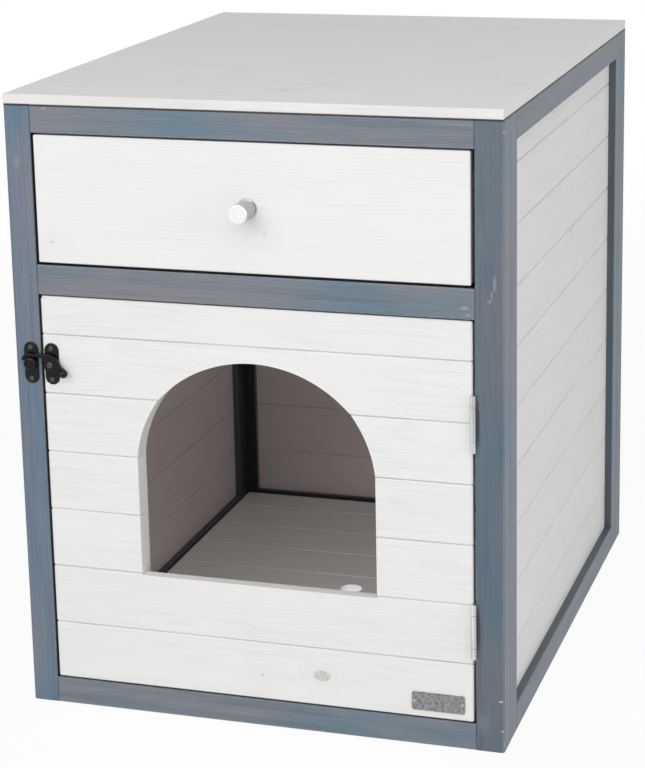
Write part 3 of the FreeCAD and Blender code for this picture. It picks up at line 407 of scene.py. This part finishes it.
def washed(name, inner, thinness=1.0, joint_share=0.5, joint_colour=JOINT_SHADE,
           inner_joints=0.4, inner_colour=WASH_INSIDE, knot_share=0.62, **figure):
    """White-washed boards. inner is (axis, place, side): the faces beyond that place on that
    side of the axis have the inner colour; side 0 stands for those nearer to the middle on
    both sides. The wood shows through by cloud x (rings + fibres + streaks), and by
    knot_share in the knots. The joints have their own colour by joint_share, more of it here
    and less there, and by inner_joints of that on the inner faces."""
    material, tree = new_material(name)
    wood = wood_figure(tree, **figure)
    thin = add(tree, "MapRange", {
        "Value": wood["cloud"], "From Min": 0.34, "From Max": 0.68,
        "To Min": 0.25 * thinness, "To Max": 1.0 * thinness}).outputs[0]
    lines = add(tree, "MapRange", {
        "Value": wood["fibre"], "From Min": 0.47, "From Max": 0.75,
        "To Min": 0.0, "To Max": FIBRES_SHOW}).outputs[0]
    bands = add(tree, "MapRange", {
        "Value": wood["streak"], "From Min": 0.46, "From Max": 0.72,
        "To Min": 0.0, "To Max": STREAKS_SHOW}).outputs[0]
    shown = add(tree, "Math", {0: wood["rings"], 1: RINGS_SHOW, 2: lines},
                operation="MULTIPLY_ADD").outputs[0]
    shown = add(tree, "Math", {0: shown, 1: bands}).outputs[0]
    shown = add(tree, "Math", {0: shown, 1: thin}, operation="MULTIPLY").outputs[0]
    shown = add(tree, "Math", {0: wood["halo"], 1: HALO_SHOWS, 2: shown},
                operation="MULTIPLY_ADD").outputs[0]
    board = add(tree, "MapRange", {
        "Value": wood["luck"], "To Min": 0.0, "To Max": BOARDS_DIFFER}).outputs[0]
    shown = add(tree, "Math", {0: shown, 1: board}, use_clamp=True).outputs[0]
    spot = add(tree, "Math", {0: wood["knot"], 1: knot_share}, operation="MULTIPLY").outputs[0]

    axis, limit, side = inner
    where = wood["parts"][axis]
    if side == 0:
        where = add(tree, "Math", {0: where}, operation="ABSOLUTE").outputs[0]
    inside = add(tree, "Math", {0: where, 1: limit},
                 operation="GREATER_THAN" if side > 0 else "LESS_THAN").outputs[0]
    filled = add(tree, "MapRange", {
        "Value": wood["cloud"], "From Min": 0.35, "From Max": 0.60,
        "To Min": 0.3 * joint_share, "To Max": joint_share}).outputs[0]
    dark = add(tree, "Math", {0: wood["joint"], 1: filled}, operation="MULTIPLY").outputs[0]
    fading = add(tree, "Math", {0: inside, 1: inner_joints - 1.0, 2: 1.0},
                 operation="MULTIPLY_ADD").outputs[0]
    dark = add(tree, "Math", {0: dark, 1: fading}, operation="MULTIPLY").outputs[0]
    colour = layered(tree, linear(WASH), (inside, linear(inner_colour)), (shown, linear(WASH_THIN)),
                     (spot, linear(KNOT_UNDER_WASH)), (dark, linear(joint_colour)))

    rough = add(tree, "MapRange", {
        "Value": wood["fibre"], "From Min": 0.3, "From Max": 0.7,
        "To Min": 0.52, "To Max": 0.66}).outputs[0]
    height = add(tree, "Math", {0: wood["rings"], 1: 0.5, 2: wood["fibre"]},
                 operation="MULTIPLY_ADD").outputs[0]
    height = add(tree, "Math", {0: wood["knot"], 1: -0.6, 2: height},
                 operation="MULTIPLY_ADD").outputs[0]
    relief = add(tree, "Bump", {
        "Height": height, "Strength": 0.35, "Distance": WASH_RELIEF_MM / 1000}).outputs[0]
    shader = add(tree, "BsdfPrincipled", {
        "Base Color": colour, "Roughness": rough, "Normal": relief, "IOR": 1.45}).outputs[0]
    add(tree, "OutputMaterial", {"Surface": shader})
    return material


BOARD_PITCH = 55.0
FLOOR_PITCH = 61.0
LID_PITCH = 71.25
LID_KNOTS = [(-208.3, -112.1, 0.8), (-212.5, 165.4, 0.8), (14.0, -209.4, 2.0), (55.6, 58.7, 0.8),
             (177.1, -94.3, 1.2), (210.2, -140.5, 1.6)]
door_wash = washed(
    "white wash on door boards", grain=X, row=Z, first_joint=80.5 - BOARD_PITCH,
    pitch=BOARD_PITCH, face=-272.0, knots=[(58.4, 54.4, 5.0), (2.0, 49.0, 0.8)],
    inner=(Y, -262.5, 1), inner_colour=WASH_BEHIND_DOOR, seed=3.0)
batten_wash = washed(
    "white wash on door battens", grain=Z, row=X, cuts=[(X, 0.0)], face=-262.0,
    inner=(Y, -252.5, 1), inner_colour=WASH_BEHIND_DOOR, stray_knots=0.1, seed=5.0)
side_wash = washed(
    "white wash on side boards", grain=Y, row=Z, first_joint=72.0 - BOARD_PITCH,
    pitch=BOARD_PITCH, cuts=[(X, 0.0)], face=217.5, inner=(X, 212.0, 0), stray_knots=0.03,
    thinness=0.7, seed=11.0)
back_wash = washed(
    "white wash on back boards", grain=X, row=Z, first_joint=72.0 - BOARD_PITCH,
    pitch=BOARD_PITCH, face=288.0, inner=(Y, 283.0, -1), stray_knots=0.16, seed=23.0)
# Its joints are painted white, and strongly: a painted glow of light between the boards
floor_wash = washed(
    "white wash on floor boards", grain=X, row=Y, first_joint=-260.0, pitch=FLOOR_PITCH,
    face=22.5, inner=(Z, 100.0, -1), inner_colour=FLOOR_WASH_AND_PAINTED_LIGHT, joint_colour=PAINTED_LIGHT_IN_JOINTS,
    inner_joints=1.6, stray_knots=0.1, seed=31.0)
floor_batten_wash = washed(
    "white wash on floor battens", grain=Y, row=X, cuts=[(X, 0.0)], inner=(Z, 100.0, -1),
    seed=41.0)
drawer_wash = washed(
    "white wash on drawer front", grain=X, row=Z, face=-272.0, thinness=0.65,
    knots=[(-183.9, 440.5, 1.2), (14.7, 456.5, 0.8)], knot_share=0.38, inner=(Y, -261.5, 1),
    seed=47.0)
lid_wash = washed(
    "white wash on lid", grain=X, row=Y, first_joint=-272.0, pitch=LID_PITCH, face=572.0,
    thinness=0.9, joint_share=0.12, knots=LID_KNOTS, inner=(Z, 564.0, -1), seed=53.0)

# %% [markdown]
# ## Blue-grey stain on the frame
#
# The battens are planed pine under a blue-grey glaze. A glaze is stain in a thin
# varnish: the spring wood drinks it and turns a soft slate blue, the hard summer wood
# sheds some of it, and streaks run along each batten. A single slate colour would look
# like plastic, so the colour is mixed from a bluer, a greyer, a deeper and a paler tone by
# the fibres, the streaks, the rings and a slow blotch. It has a satin finish. Handling has
# left scuffs and pale flecks on the edges, and a chip or two down to the wood.
# Some light is painted into the stain too: shade that makes the inside and the gaps round the door
# and drawer nearly black, a shadow under the lid, shadows beside the hinges, and tones that partly
# stand for the light on each face.

# %% Stain material
STAIN = "#75818f"
# Tones over it: colour, the figure it follows, where it starts, where it is at most, how
# much that is, and how much the rings add
STAIN_TONES = [
    ("#5f7d91", "cloud", 0.50, 0.68, 0.8, 0.0),
    ("#80828d", "cloud", 0.50, 0.34, 0.85, 0.0),
    ("#5c6672", "streak", 0.48, 0.78, 0.55, 0.18),
    ("#959fa9", "fibre", 0.52, 0.74, 0.35, 0.0),
]
# Painted shade: nearly black stain inside the cabinet and in the gaps round door and drawer
PAINTED_SHADE_INSIDE = "#303135"
STAIN_IN_KNOTS = "#454d56"
KNOT_SHARE = 0.55
# Tones of the faces: partly the stain's own, partly painted light and sheen by face
SIDE_TONE = (0.89, 0.86, 0.83)
FRONT_FACE = -271.5
INSIDE_HALF_X = 200.5
INSIDE_Y = (-270.5, 272.0)
SEAM_SHADE = "#30373f"
SEAM_HALF_MM = 0.55
SEAM_SHARE = 0.55
# Painted shadow: a dark band on the frame just under the lid's edge
PAINTED_LID_SHADOW = "#15181b"
PAINTED_LID_SHADOW_Z = 563.0
PAINTED_LID_SHADOW_HALF_MM = 1.4
PAINTED_LID_SHADOW_SHARE = 0.9
# Painted shadow beside each hinge barrel on the right stile
PAINTED_HINGE_SHADOW = "#22282c"
BARE_WOOD = "#c9beae"
SCUFF = "#a9b0b5"
# In radii of a mark: how far it reaches, and how much its edge is frayed
MARK_REACH = 1.45
MARK_FRAY = 0.9
# From an arris: where wear begins, where it is at most, and a distance without any
WORN_MM = (1.3, 0.3)
UNWORN_MM = 50.0
WORN_SHARE = 0.6
STAIN_RELIEF_MM = 0.25


def stained(name, front_tone=SIDE_TONE, tone=SIDE_TONE, seams=(), arrises=(), marks=(), **figure):
    """Blue-grey stain. The tones multiply red, green and blue, on the front and elsewhere; they
    are partly the stain's own colour and partly painted light and sheen. seams are (axis,
    place): planes where two pieces meet, a thin dark line. arrises are (axis, place, axis,
    place): edges along the third axis, worn pale in flecks. An x in either holds on the left
    and on the right. marks are (centre, radii, colour, share, softness), in millimetres;
    some of them are painted shadows. Inside the cabinet and in the gaps round the door and
    the drawer, painted shade makes the stain nearly black, and a painted shadow darkens a
    band just under the lid."""
    material, tree = new_material(name)
    wood = wood_figure(tree, **figure)
    parts = wood["parts"]
    coats = []
    for code, part, start, full, most, of_rings in STAIN_TONES:
        share = add(tree, "MapRange", {
            "Value": wood[part], "From Min": start, "From Max": full,
            "To Min": 0.0, "To Max": most}).outputs[0]
        if of_rings:
            share = add(tree, "Math", {0: wood["rings"], 1: of_rings, 2: share},
                        operation="MULTIPLY_ADD", use_clamp=True).outputs[0]
        coats.append((share, linear(code)))
    spot = add(tree, "Math", {0: wood["knot"], 1: KNOT_SHARE}, operation="MULTIPLY").outputs[0]
    colour = layered(tree, linear(STAIN), *coats, (spot, linear(STAIN_IN_KNOTS)))
    # Front and other faces get separate tones, partly painted light and sheen
    front = add(tree, "Math", {0: parts[Y], 1: FRONT_FACE}, operation="LESS_THAN").outputs[0]
    tones = layered(tree, (*tone, 1.0), (front, (*front_tone, 1.0)))
    colour = add(tree, "VectorMath", {0: colour, 1: tones}, operation="MULTIPLY").outputs[0]

    # Blotches, scuffs, chips and painted shadows, each an ellipsoid with a frayed edge
    here = add(tree, "CombineXYZ", {0: parts[X], 1: parts[Y], 2: parts[Z]}).outputs[0]
    fray = add(tree, "TexNoise", {
        "Vector": wood["local"], "Scale": 0.6, "Detail": 2.0}).outputs["Fac"]
    for centre, radii, shade, share, softness in marks:
        away = add(tree, "VectorMath", {0: here, 1: centre}, operation="SUBTRACT").outputs[0]
        away = add(tree, "VectorMath", {0: away, 1: radii}, operation="DIVIDE").outputs[0]
        away = add(tree, "VectorMath", {0: away}, operation="LENGTH").outputs["Value"]
        away = add(tree, "Math", {0: fray, 1: MARK_FRAY, 2: away},
                   operation="MULTIPLY_ADD").outputs[0]
        hit = add(tree, "MapRange", {
            "Value": away, "From Min": MARK_REACH, "From Max": MARK_REACH - softness,
            "To Min": 0.0, "To Max": share}, interpolation_type="SMOOTHSTEP").outputs[0]
        colour = layered(tree, colour, (hit, linear(shade)))

    # Worn arrises: near enough to one of the edges, and where a noise along it is high
    sideways = add(tree, "Math", {0: parts[X]}, operation="ABSOLUTE").outputs[0]
    folded = (sideways, parts[Y], parts[Z])
    both = add(tree, "CombineXYZ", {0: sideways, 1: parts[Y], 2: parts[Z]}).outputs[0]
    edge = UNWORN_MM
    for axis, place, other_axis, other_place in arrises:
        mask, point = [0, 0, 0], [0, 0, 0]
        mask[axis], mask[other_axis] = 1, 1
        point[axis], point[other_axis] = place, other_place
        flat = add(tree, "VectorMath", {0: both, 1: mask}, operation="MULTIPLY").outputs[0]
        flat = add(tree, "VectorMath", {0: flat, 1: point}, operation="DISTANCE").outputs["Value"]
        edge = add(tree, "Math", {0: edge, 1: flat}, operation="MINIMUM").outputs[0]
    worn = add(tree, "MapRange", {
        "Value": edge, "From Min": WORN_MM[0], "From Max": WORN_MM[1], "To Min": 0.0,
        "To Max": WORN_SHARE}).outputs[0]
    flecks = add(tree, "MapRange", {
        "Value": fray, "From Min": 0.50, "From Max": 0.62, "To Min": 0.12,
        "To Max": 1.0}).outputs[0]
    worn = add(tree, "Math", {0: worn, 1: flecks}, operation="MULTIPLY").outputs[0]

    # Seams, the painted shadow under the lid, and the painted shade that makes the inside nearly
    # black
    dark = 0.0
    for axis, place in seams:
        line = add(tree, "Math", {0: folded[axis], 1: place, 2: SEAM_HALF_MM},
                   operation="COMPARE").outputs[0]
        dark = add(tree, "Math", {0: dark, 1: line}, operation="MAXIMUM").outputs[0]
    dark = add(tree, "Math", {0: dark, 1: SEAM_SHARE}, operation="MULTIPLY").outputs[0]
    lid_shadow = add(tree, "Math", {0: parts[Z], 1: PAINTED_LID_SHADOW_Z, 2: PAINTED_LID_SHADOW_HALF_MM},
              operation="COMPARE").outputs[0]
    lid_shadow = add(tree, "Math", {0: lid_shadow, 1: PAINTED_LID_SHADOW_SHARE}, operation="MULTIPLY").outputs[0]
    # Painted shade: nearly black stain inside and in the gaps round the door and drawer
    between = add(tree, "Math", {0: sideways, 1: INSIDE_HALF_X}, operation="LESS_THAN").outputs[0]
    behind = add(tree, "Math", {0: parts[Y], 1: INSIDE_Y[0]}, operation="GREATER_THAN").outputs[0]
    before = add(tree, "Math", {0: parts[Y], 1: INSIDE_Y[1]}, operation="LESS_THAN").outputs[0]
    inside = add(tree, "Math", {0: between, 1: behind}, operation="MULTIPLY").outputs[0]
    inside = add(tree, "Math", {0: inside, 1: before}, operation="MULTIPLY").outputs[0]
    colour = layered(tree, colour, (worn, linear(SCUFF)), (dark, linear(SEAM_SHADE)),
                     (lid_shadow, linear(PAINTED_LID_SHADOW)), (inside, linear(PAINTED_SHADE_INSIDE)))

    rough = add(tree, "MapRange", {
        "Value": wood["fibre"], "From Min": 0.3, "From Max": 0.7,
        "To Min": 0.42, "To Max": 0.58}).outputs[0]
    height = add(tree, "Math", {0: wood["rings"], 1: 0.6, 2: wood["fibre"]},
                 operation="MULTIPLY_ADD").outputs[0]
    relief = add(tree, "Bump", {
        "Height": height, "Strength": 0.5, "Distance": STAIN_RELIEF_MM / 1000}).outputs[0]
    shader = add(tree, "BsdfPrincipled", {
        "Base Color": colour, "Roughness": rough, "Normal": relief, "IOR": 1.48}).outputs[0]
    add(tree, "OutputMaterial", {"Surface": shader})
    return material


FRAME_SEAMS = [(X, 200.0), (Y, -247.0), (Y, -222.0), (Y, 246.0), (Y, 271.0)]
STILE_ARRISES = [(X, 225.0, Y, -272.0), (X, 200.0, Y, -272.0), (X, 225.0, Y, 298.0),
                 (X, 225.0, Y, 246.0)]
RAIL_ARRISES = [(Y, -272.0, Z, place) for place in (0.0, 25.0, 392.0, 419.0, 538.0)]
SIDE_ARRISES = [(X, 225.0, Z, place) for place in (0.0, 25.0, 538.0)]
STILE_CUTS = [(X, 0.0), (Y, -247.0), (Y, 0.0), (Y, 271.0)]
LEFT_STILE_MARKS = [
    ((-211, -272, 548), (5, 4, 9), "#566f82", 0.6, 0.9),
    ((-214, -272, 512), (4, 4, 8), "#93918f", 0.45, 0.7),
]
# Painted shadows beside the two hinges, blotches and scuffs, and chips down to the wood
RIGHT_STILE_MARKS = [
    ((202, -272, 301.2), (2.6, 3, 27), PAINTED_HINGE_SHADOW, 0.7, 0.6),
    ((202, -272, 112.6), (2.6, 3, 27), PAINTED_HINGE_SHADOW, 0.7, 0.6),
    ((213, -272, 430), (9, 6, 30), "#4d6474", 0.6, 0.9),
    ((217, -272, 424), (2.0, 3, 9), SCUFF, 0.35, 0.6),
    ((214.5, -272, 414), (1.2, 3, 5), SCUFF, 0.35, 0.6),
    ((206, -272, 27), (9, 4, 14), "#7b7f8b", 0.5, 0.9),
    ((222.1, -272, 48.4), (2.2, 2, 1.1), BARE_WOOD, 0.9, 0.3),
    ((224.0, -272, 20.4), (2.4, 2, 0.9), BARE_WOOD, 0.9, 0.3),
    ((225.0, -270.6, 8), (1.2, 1, 4), BARE_WOOD, 0.6, 0.4),
    ((224.7, -270, 552), (1.2, 1.5, 1.6), BARE_WOOD, 0.7, 0.4),
]
RAIL_MARKS = [
    ((191, -272, 402), (5, 4, 2.2), SCUFF, 0.5, 0.7),
    ((194, -272, 396), (3, 4, 1.2), SCUFF, 0.5, 0.6),
    ((-186, -272, 560), (4, 4, 1.2), SCUFF, 0.6, 0.7),
]
# The tones per piece and face are partly the stain's own and partly painted light
stiles_stain = stained(
    "blue-grey stain on stiles", front_tone=(0.84, 0.86, 0.89), grain=Z, row=X, ring_mm=2.6,
    stray_knots=0.08, seed=61.0, cuts=STILE_CUTS, seams=FRAME_SEAMS, arrises=STILE_ARRISES,
    marks=LEFT_STILE_MARKS)
rear_stile_stain = stained(
    "blue-grey stain on rear stiles", tone=(0.81, 0.81, 0.81), grain=Z, row=X, ring_mm=2.6,
    seed=64.0, cuts=STILE_CUTS, seams=FRAME_SEAMS, arrises=STILE_ARRISES)
right_stile_stain = stained(
    "blue-grey stain on right stile", front_tone=(0.60, 0.66, 0.67), grain=Z, row=X,
    ring_mm=2.6, seed=67.0, seams=FRAME_SEAMS, arrises=STILE_ARRISES, marks=RIGHT_STILE_MARKS)
rails_stain = stained(
    "blue-grey stain on cross rails", front_tone=(1.0, 0.93, 0.87), grain=X, row=Z,
    ring_mm=2.4, stray_knots=0.08, seed=71.0, cuts=[(Z, 200.0), (Z, 500.0), (Y, 0.0)],
    seams=FRAME_SEAMS + [(Z, 25.0)], arrises=RAIL_ARRISES, marks=RAIL_MARKS)
side_rails_stain = stained(
    "blue-grey stain on side rails", tone=(0.85, 0.82, 0.81), grain=Y, row=Z, ring_mm=2.4,
    stray_knots=0.08, seed=83.0, cuts=[(X, 0.0), (Z, 200.0), (Z, 510.0), (Z, 535.0)],
    seams=FRAME_SEAMS + [(Z, 25.0)], arrises=SIDE_ARRISES)

# %% [markdown]
# ## Bare softwood for the drawer box
#
# Nothing of the drawer box shows while it is shut. Pulled out, it is the same spruce
# left bare: straw-coloured spring wood with orange-brown rings.

# %% Bare wood material
SPRING_WOOD = "#e3cda6"
SUMMER_WOOD = "#c79a63"
BARE_KNOT = "#7d5534"
BARE_ROUGHNESS = 0.62
BARE_RELIEF_MM = 0.2


def bare_wood(name, **figure):
    """Planed spruce with no finish: rings and fibres mix the two woods' colours."""
    material, tree = new_material(name)
    wood = wood_figure(tree, **figure)
    lines = add(tree, "MapRange", {
        "Value": wood["fibre"], "From Min": 0.4, "From Max": 0.75,
        "To Min": 0.0, "To Max": 0.3}).outputs[0]
    shown = add(tree, "Math", {0: wood["rings"], 1: 0.55, 2: lines}, operation="MULTIPLY_ADD",
                use_clamp=True).outputs[0]
    colour = layered(tree, linear(SPRING_WOOD), (shown, linear(SUMMER_WOOD)),
                     (wood["knot"], linear(BARE_KNOT)))
    height = add(tree, "Math", {0: wood["rings"], 1: 0.5, 2: wood["fibre"]},
                 operation="MULTIPLY_ADD").outputs[0]
    relief = add(tree, "Bump", {
        "Height": height, "Strength": 0.4, "Distance": BARE_RELIEF_MM / 1000}).outputs[0]
    shader = add(tree, "BsdfPrincipled", {
        "Base Color": colour, "Roughness": BARE_ROUGHNESS, "Normal": relief,
        "IOR": 1.45}).outputs[0]
    add(tree, "OutputMaterial", {"Surface": shader})
    return material


side_spruce = bare_wood(
    "bare spruce along the drawer", grain=Y, row=Z, cuts=[(X, 0.0)], face=192.0,
    stray_knots=0.12, seed=91.0)
back_spruce = bare_wood(
    "bare spruce across the drawer", grain=X, row=Z, face=219.0, stray_knots=0.12, seed=97.0)
bottom_ply = bare_wood(
    "rotary-cut plywood", grain=X, row=Y, face=436.0, ring_mm=5.0, seed=101.0)

# %% [markdown]
# ## Metals
#
# The knob is chrome over brass, finely turned, which blurs what it mirrors. Its neck and
# base ring are painted a greyer colour, a painted reflection of the drawer face in shade
# next to them. The hinges are polished steel drawn lengthwise; the fine bright and dull
# lines along them are painted into the colour, partly the drawn lines and partly painted
# reflections of the dark slit beside them. The screws are zinc-plated, pale and slightly
# cloudy, and the frame's screw heads were stained over with the wood. The hook latch is
# cast and lacquered black, smooth enough to throw small highlights, with blackened screws.
# The plate at the foot of the door is a pressed strip of pewter with a hammered face, which
# is blotched light and dark.

# %% Metal materials
DULL_METAL = 0.55


def metal(name, colour, rough, scale_mm, spread, stretch=(1, 1, 1), relief_mm=0.02,
          dulled=0.35, painted_reflection_of_shade=None, **sockets):
    """Metal whose roughness varies by spread in patches of scale_mm, stretched by three
    factors, with a relief of relief_mm. In the patches the colour falls towards DULL_METAL
    of itself, by up to dulled of the way. The argument for a painted reflection is (axis,
    place, hex): beyond that place the metal has that colour, a painted reflection of shade.
    sockets are constants of the shader."""
    material, tree = new_material(name)
    metres = add(tree, "TexCoord").outputs["Object"]
    pulled = add(tree, "VectorMath", {0: metres, 1: stretch}, operation="MULTIPLY").outputs[0]
    patches = add(tree, "TexNoise", {
        "Vector": pulled, "Scale": 1000 / scale_mm, "Detail": 3.0}).outputs["Fac"]
    roughness = add(tree, "MapRange", {
        "Value": patches, "From Min": 0.3, "From Max": 0.7,
        "To Min": rough - spread, "To Max": rough + spread}).outputs[0]
    dull = add(tree, "MapRange", {
        "Value": patches, "From Min": 0.40, "From Max": 0.66,
        "To Min": 0.0, "To Max": dulled}).outputs[0]
    shade = [DULL_METAL * value for value in linear(colour)[:3]] + [1.0]
    tint = layered(tree, linear(colour), (dull, shade))
    # A painted reflection of shade: beyond a plane the metal takes another colour
    if painted_reflection_of_shade:
        axis, place, other = painted_reflection_of_shade
        where = add(tree, "SeparateXYZ", {0: metres}).outputs[axis]
        beyond = add(tree, "Math", {0: where, 1: place / 1000}, operation="GREATER_THAN").outputs[0]
        tint = layered(tree, tint, (beyond, linear(other)))
    relief = add(tree, "Bump", {
        "Height": patches, "Strength": 0.5, "Distance": relief_mm / 1000}).outputs[0]
    shader = add(tree, "BsdfPrincipled", {
        "Base Color": tint, "Roughness": roughness, "Normal": relief, **sockets}).outputs[0]
    add(tree, "OutputMaterial", {"Surface": shader})
    return material


# Neck and base ring painted greyer: a painted reflection of the drawer face in shade
chrome = metal(
    "satin chrome", "#f4f5f6", 0.22, 2.0, 0.04, relief_mm=0.002, dulled=0.1,
    painted_reflection_of_shade=(Y, -297.4, "#b6b8ba"), Metallic=1.0)
# Hinge lines painted in the colour: partly drawn steel, partly painted reflections
hinge_steel_painted_streaks = metal(
    "polished hinge steel", "#e4e5e6", 0.24, 1.7, 0.05, stretch=(1, 1, 0.03), relief_mm=0.01,
    dulled=0.9, Metallic=1.0)
zinc = metal("zinc-plated steel", "#b4b6b8", 0.34, 3.0, 0.08, relief_mm=0.01, Metallic=1.0)
dull_zinc = metal("stained-over screw heads", "#80888f", 0.50, 1.5, 0.08, Metallic=1.0)
lacquer = metal(
    "black lacquered casting", "#0b0b0d", 0.24, 3.2, 0.06, relief_mm=0.30,
    **{"Metallic": 0.0, "IOR": 1.5, "Specular IOR Level": 0.24})
dark_screw = metal(
    "blackened screw heads", "#525356", 0.26, 1.5, 0.06, relief_mm=0.05, Metallic=1.0)
pewter = metal(
    "hammered pewter plate", "#97999d", 0.36, 3.0, 0.10, relief_mm=0.10, dulled=1.0,
    Metallic=1.0)

# %% [markdown]
# ## Giving each piece its finish
#
# A CAD node keeps its mesh and only gets a material in its slots. The nodes are named for
# what they are, so the first of these words that a node's name contains picks its finish.

# %% Assign the materials
BY_NAME = [
    ("front_stile_right", right_stile_stain),
    ("door_board", door_wash),
    ("door_batten_screws", zinc),
    ("door_batten", batten_wash),
    ("side_boards", side_wash),
    ("back_boards", back_wash),
    ("floor_boards", floor_wash),
    ("floor_battens", floor_batten_wash),
    ("drawer_front", drawer_wash),
    ("top_board", lid_wash),
    ("drawer_knob_screw", zinc),
    ("drawer_knob", chrome),
    ("drawer_side", side_spruce),
    ("drawer_back", back_spruce),
    ("drawer_dowels", back_spruce),
    ("drawer_bottom", bottom_ply),
    ("door_plate_pins", zinc),
    ("door_plate", pewter),
    ("latch_base_screws", dark_screw),
    ("latch_keeper_screws", dark_screw),
    ("latch_rivet", dark_screw),
    ("latch", lacquer),
    ("hinge_pins", hinge_steel_painted_streaks),
    ("leaf", hinge_steel_painted_streaks),
    ("hinge", zinc),
    ("frame_screws", dull_zinc),
    ("screws", zinc),
    ("side_rear_stile", rear_stile_stain),
    ("back_stile", rear_stile_stain),
    ("stile", stiles_stain),
    ("side_top_rail", side_rails_stain),
    ("side_bottom_rail", side_rails_stain),
    ("rail", rails_stain),
    ("floor_cleats", side_rails_stain),
    ("drawer_runners", side_rails_stain),
    ("drawer_kickers", side_rails_stain),
]
for name, piece in nodes.items():
    finish = next(material for part, material in BY_NAME if part in name)
    piece.data.materials.clear()
    piece.data.materials.append(finish)
    print(name, "has", finish.name)
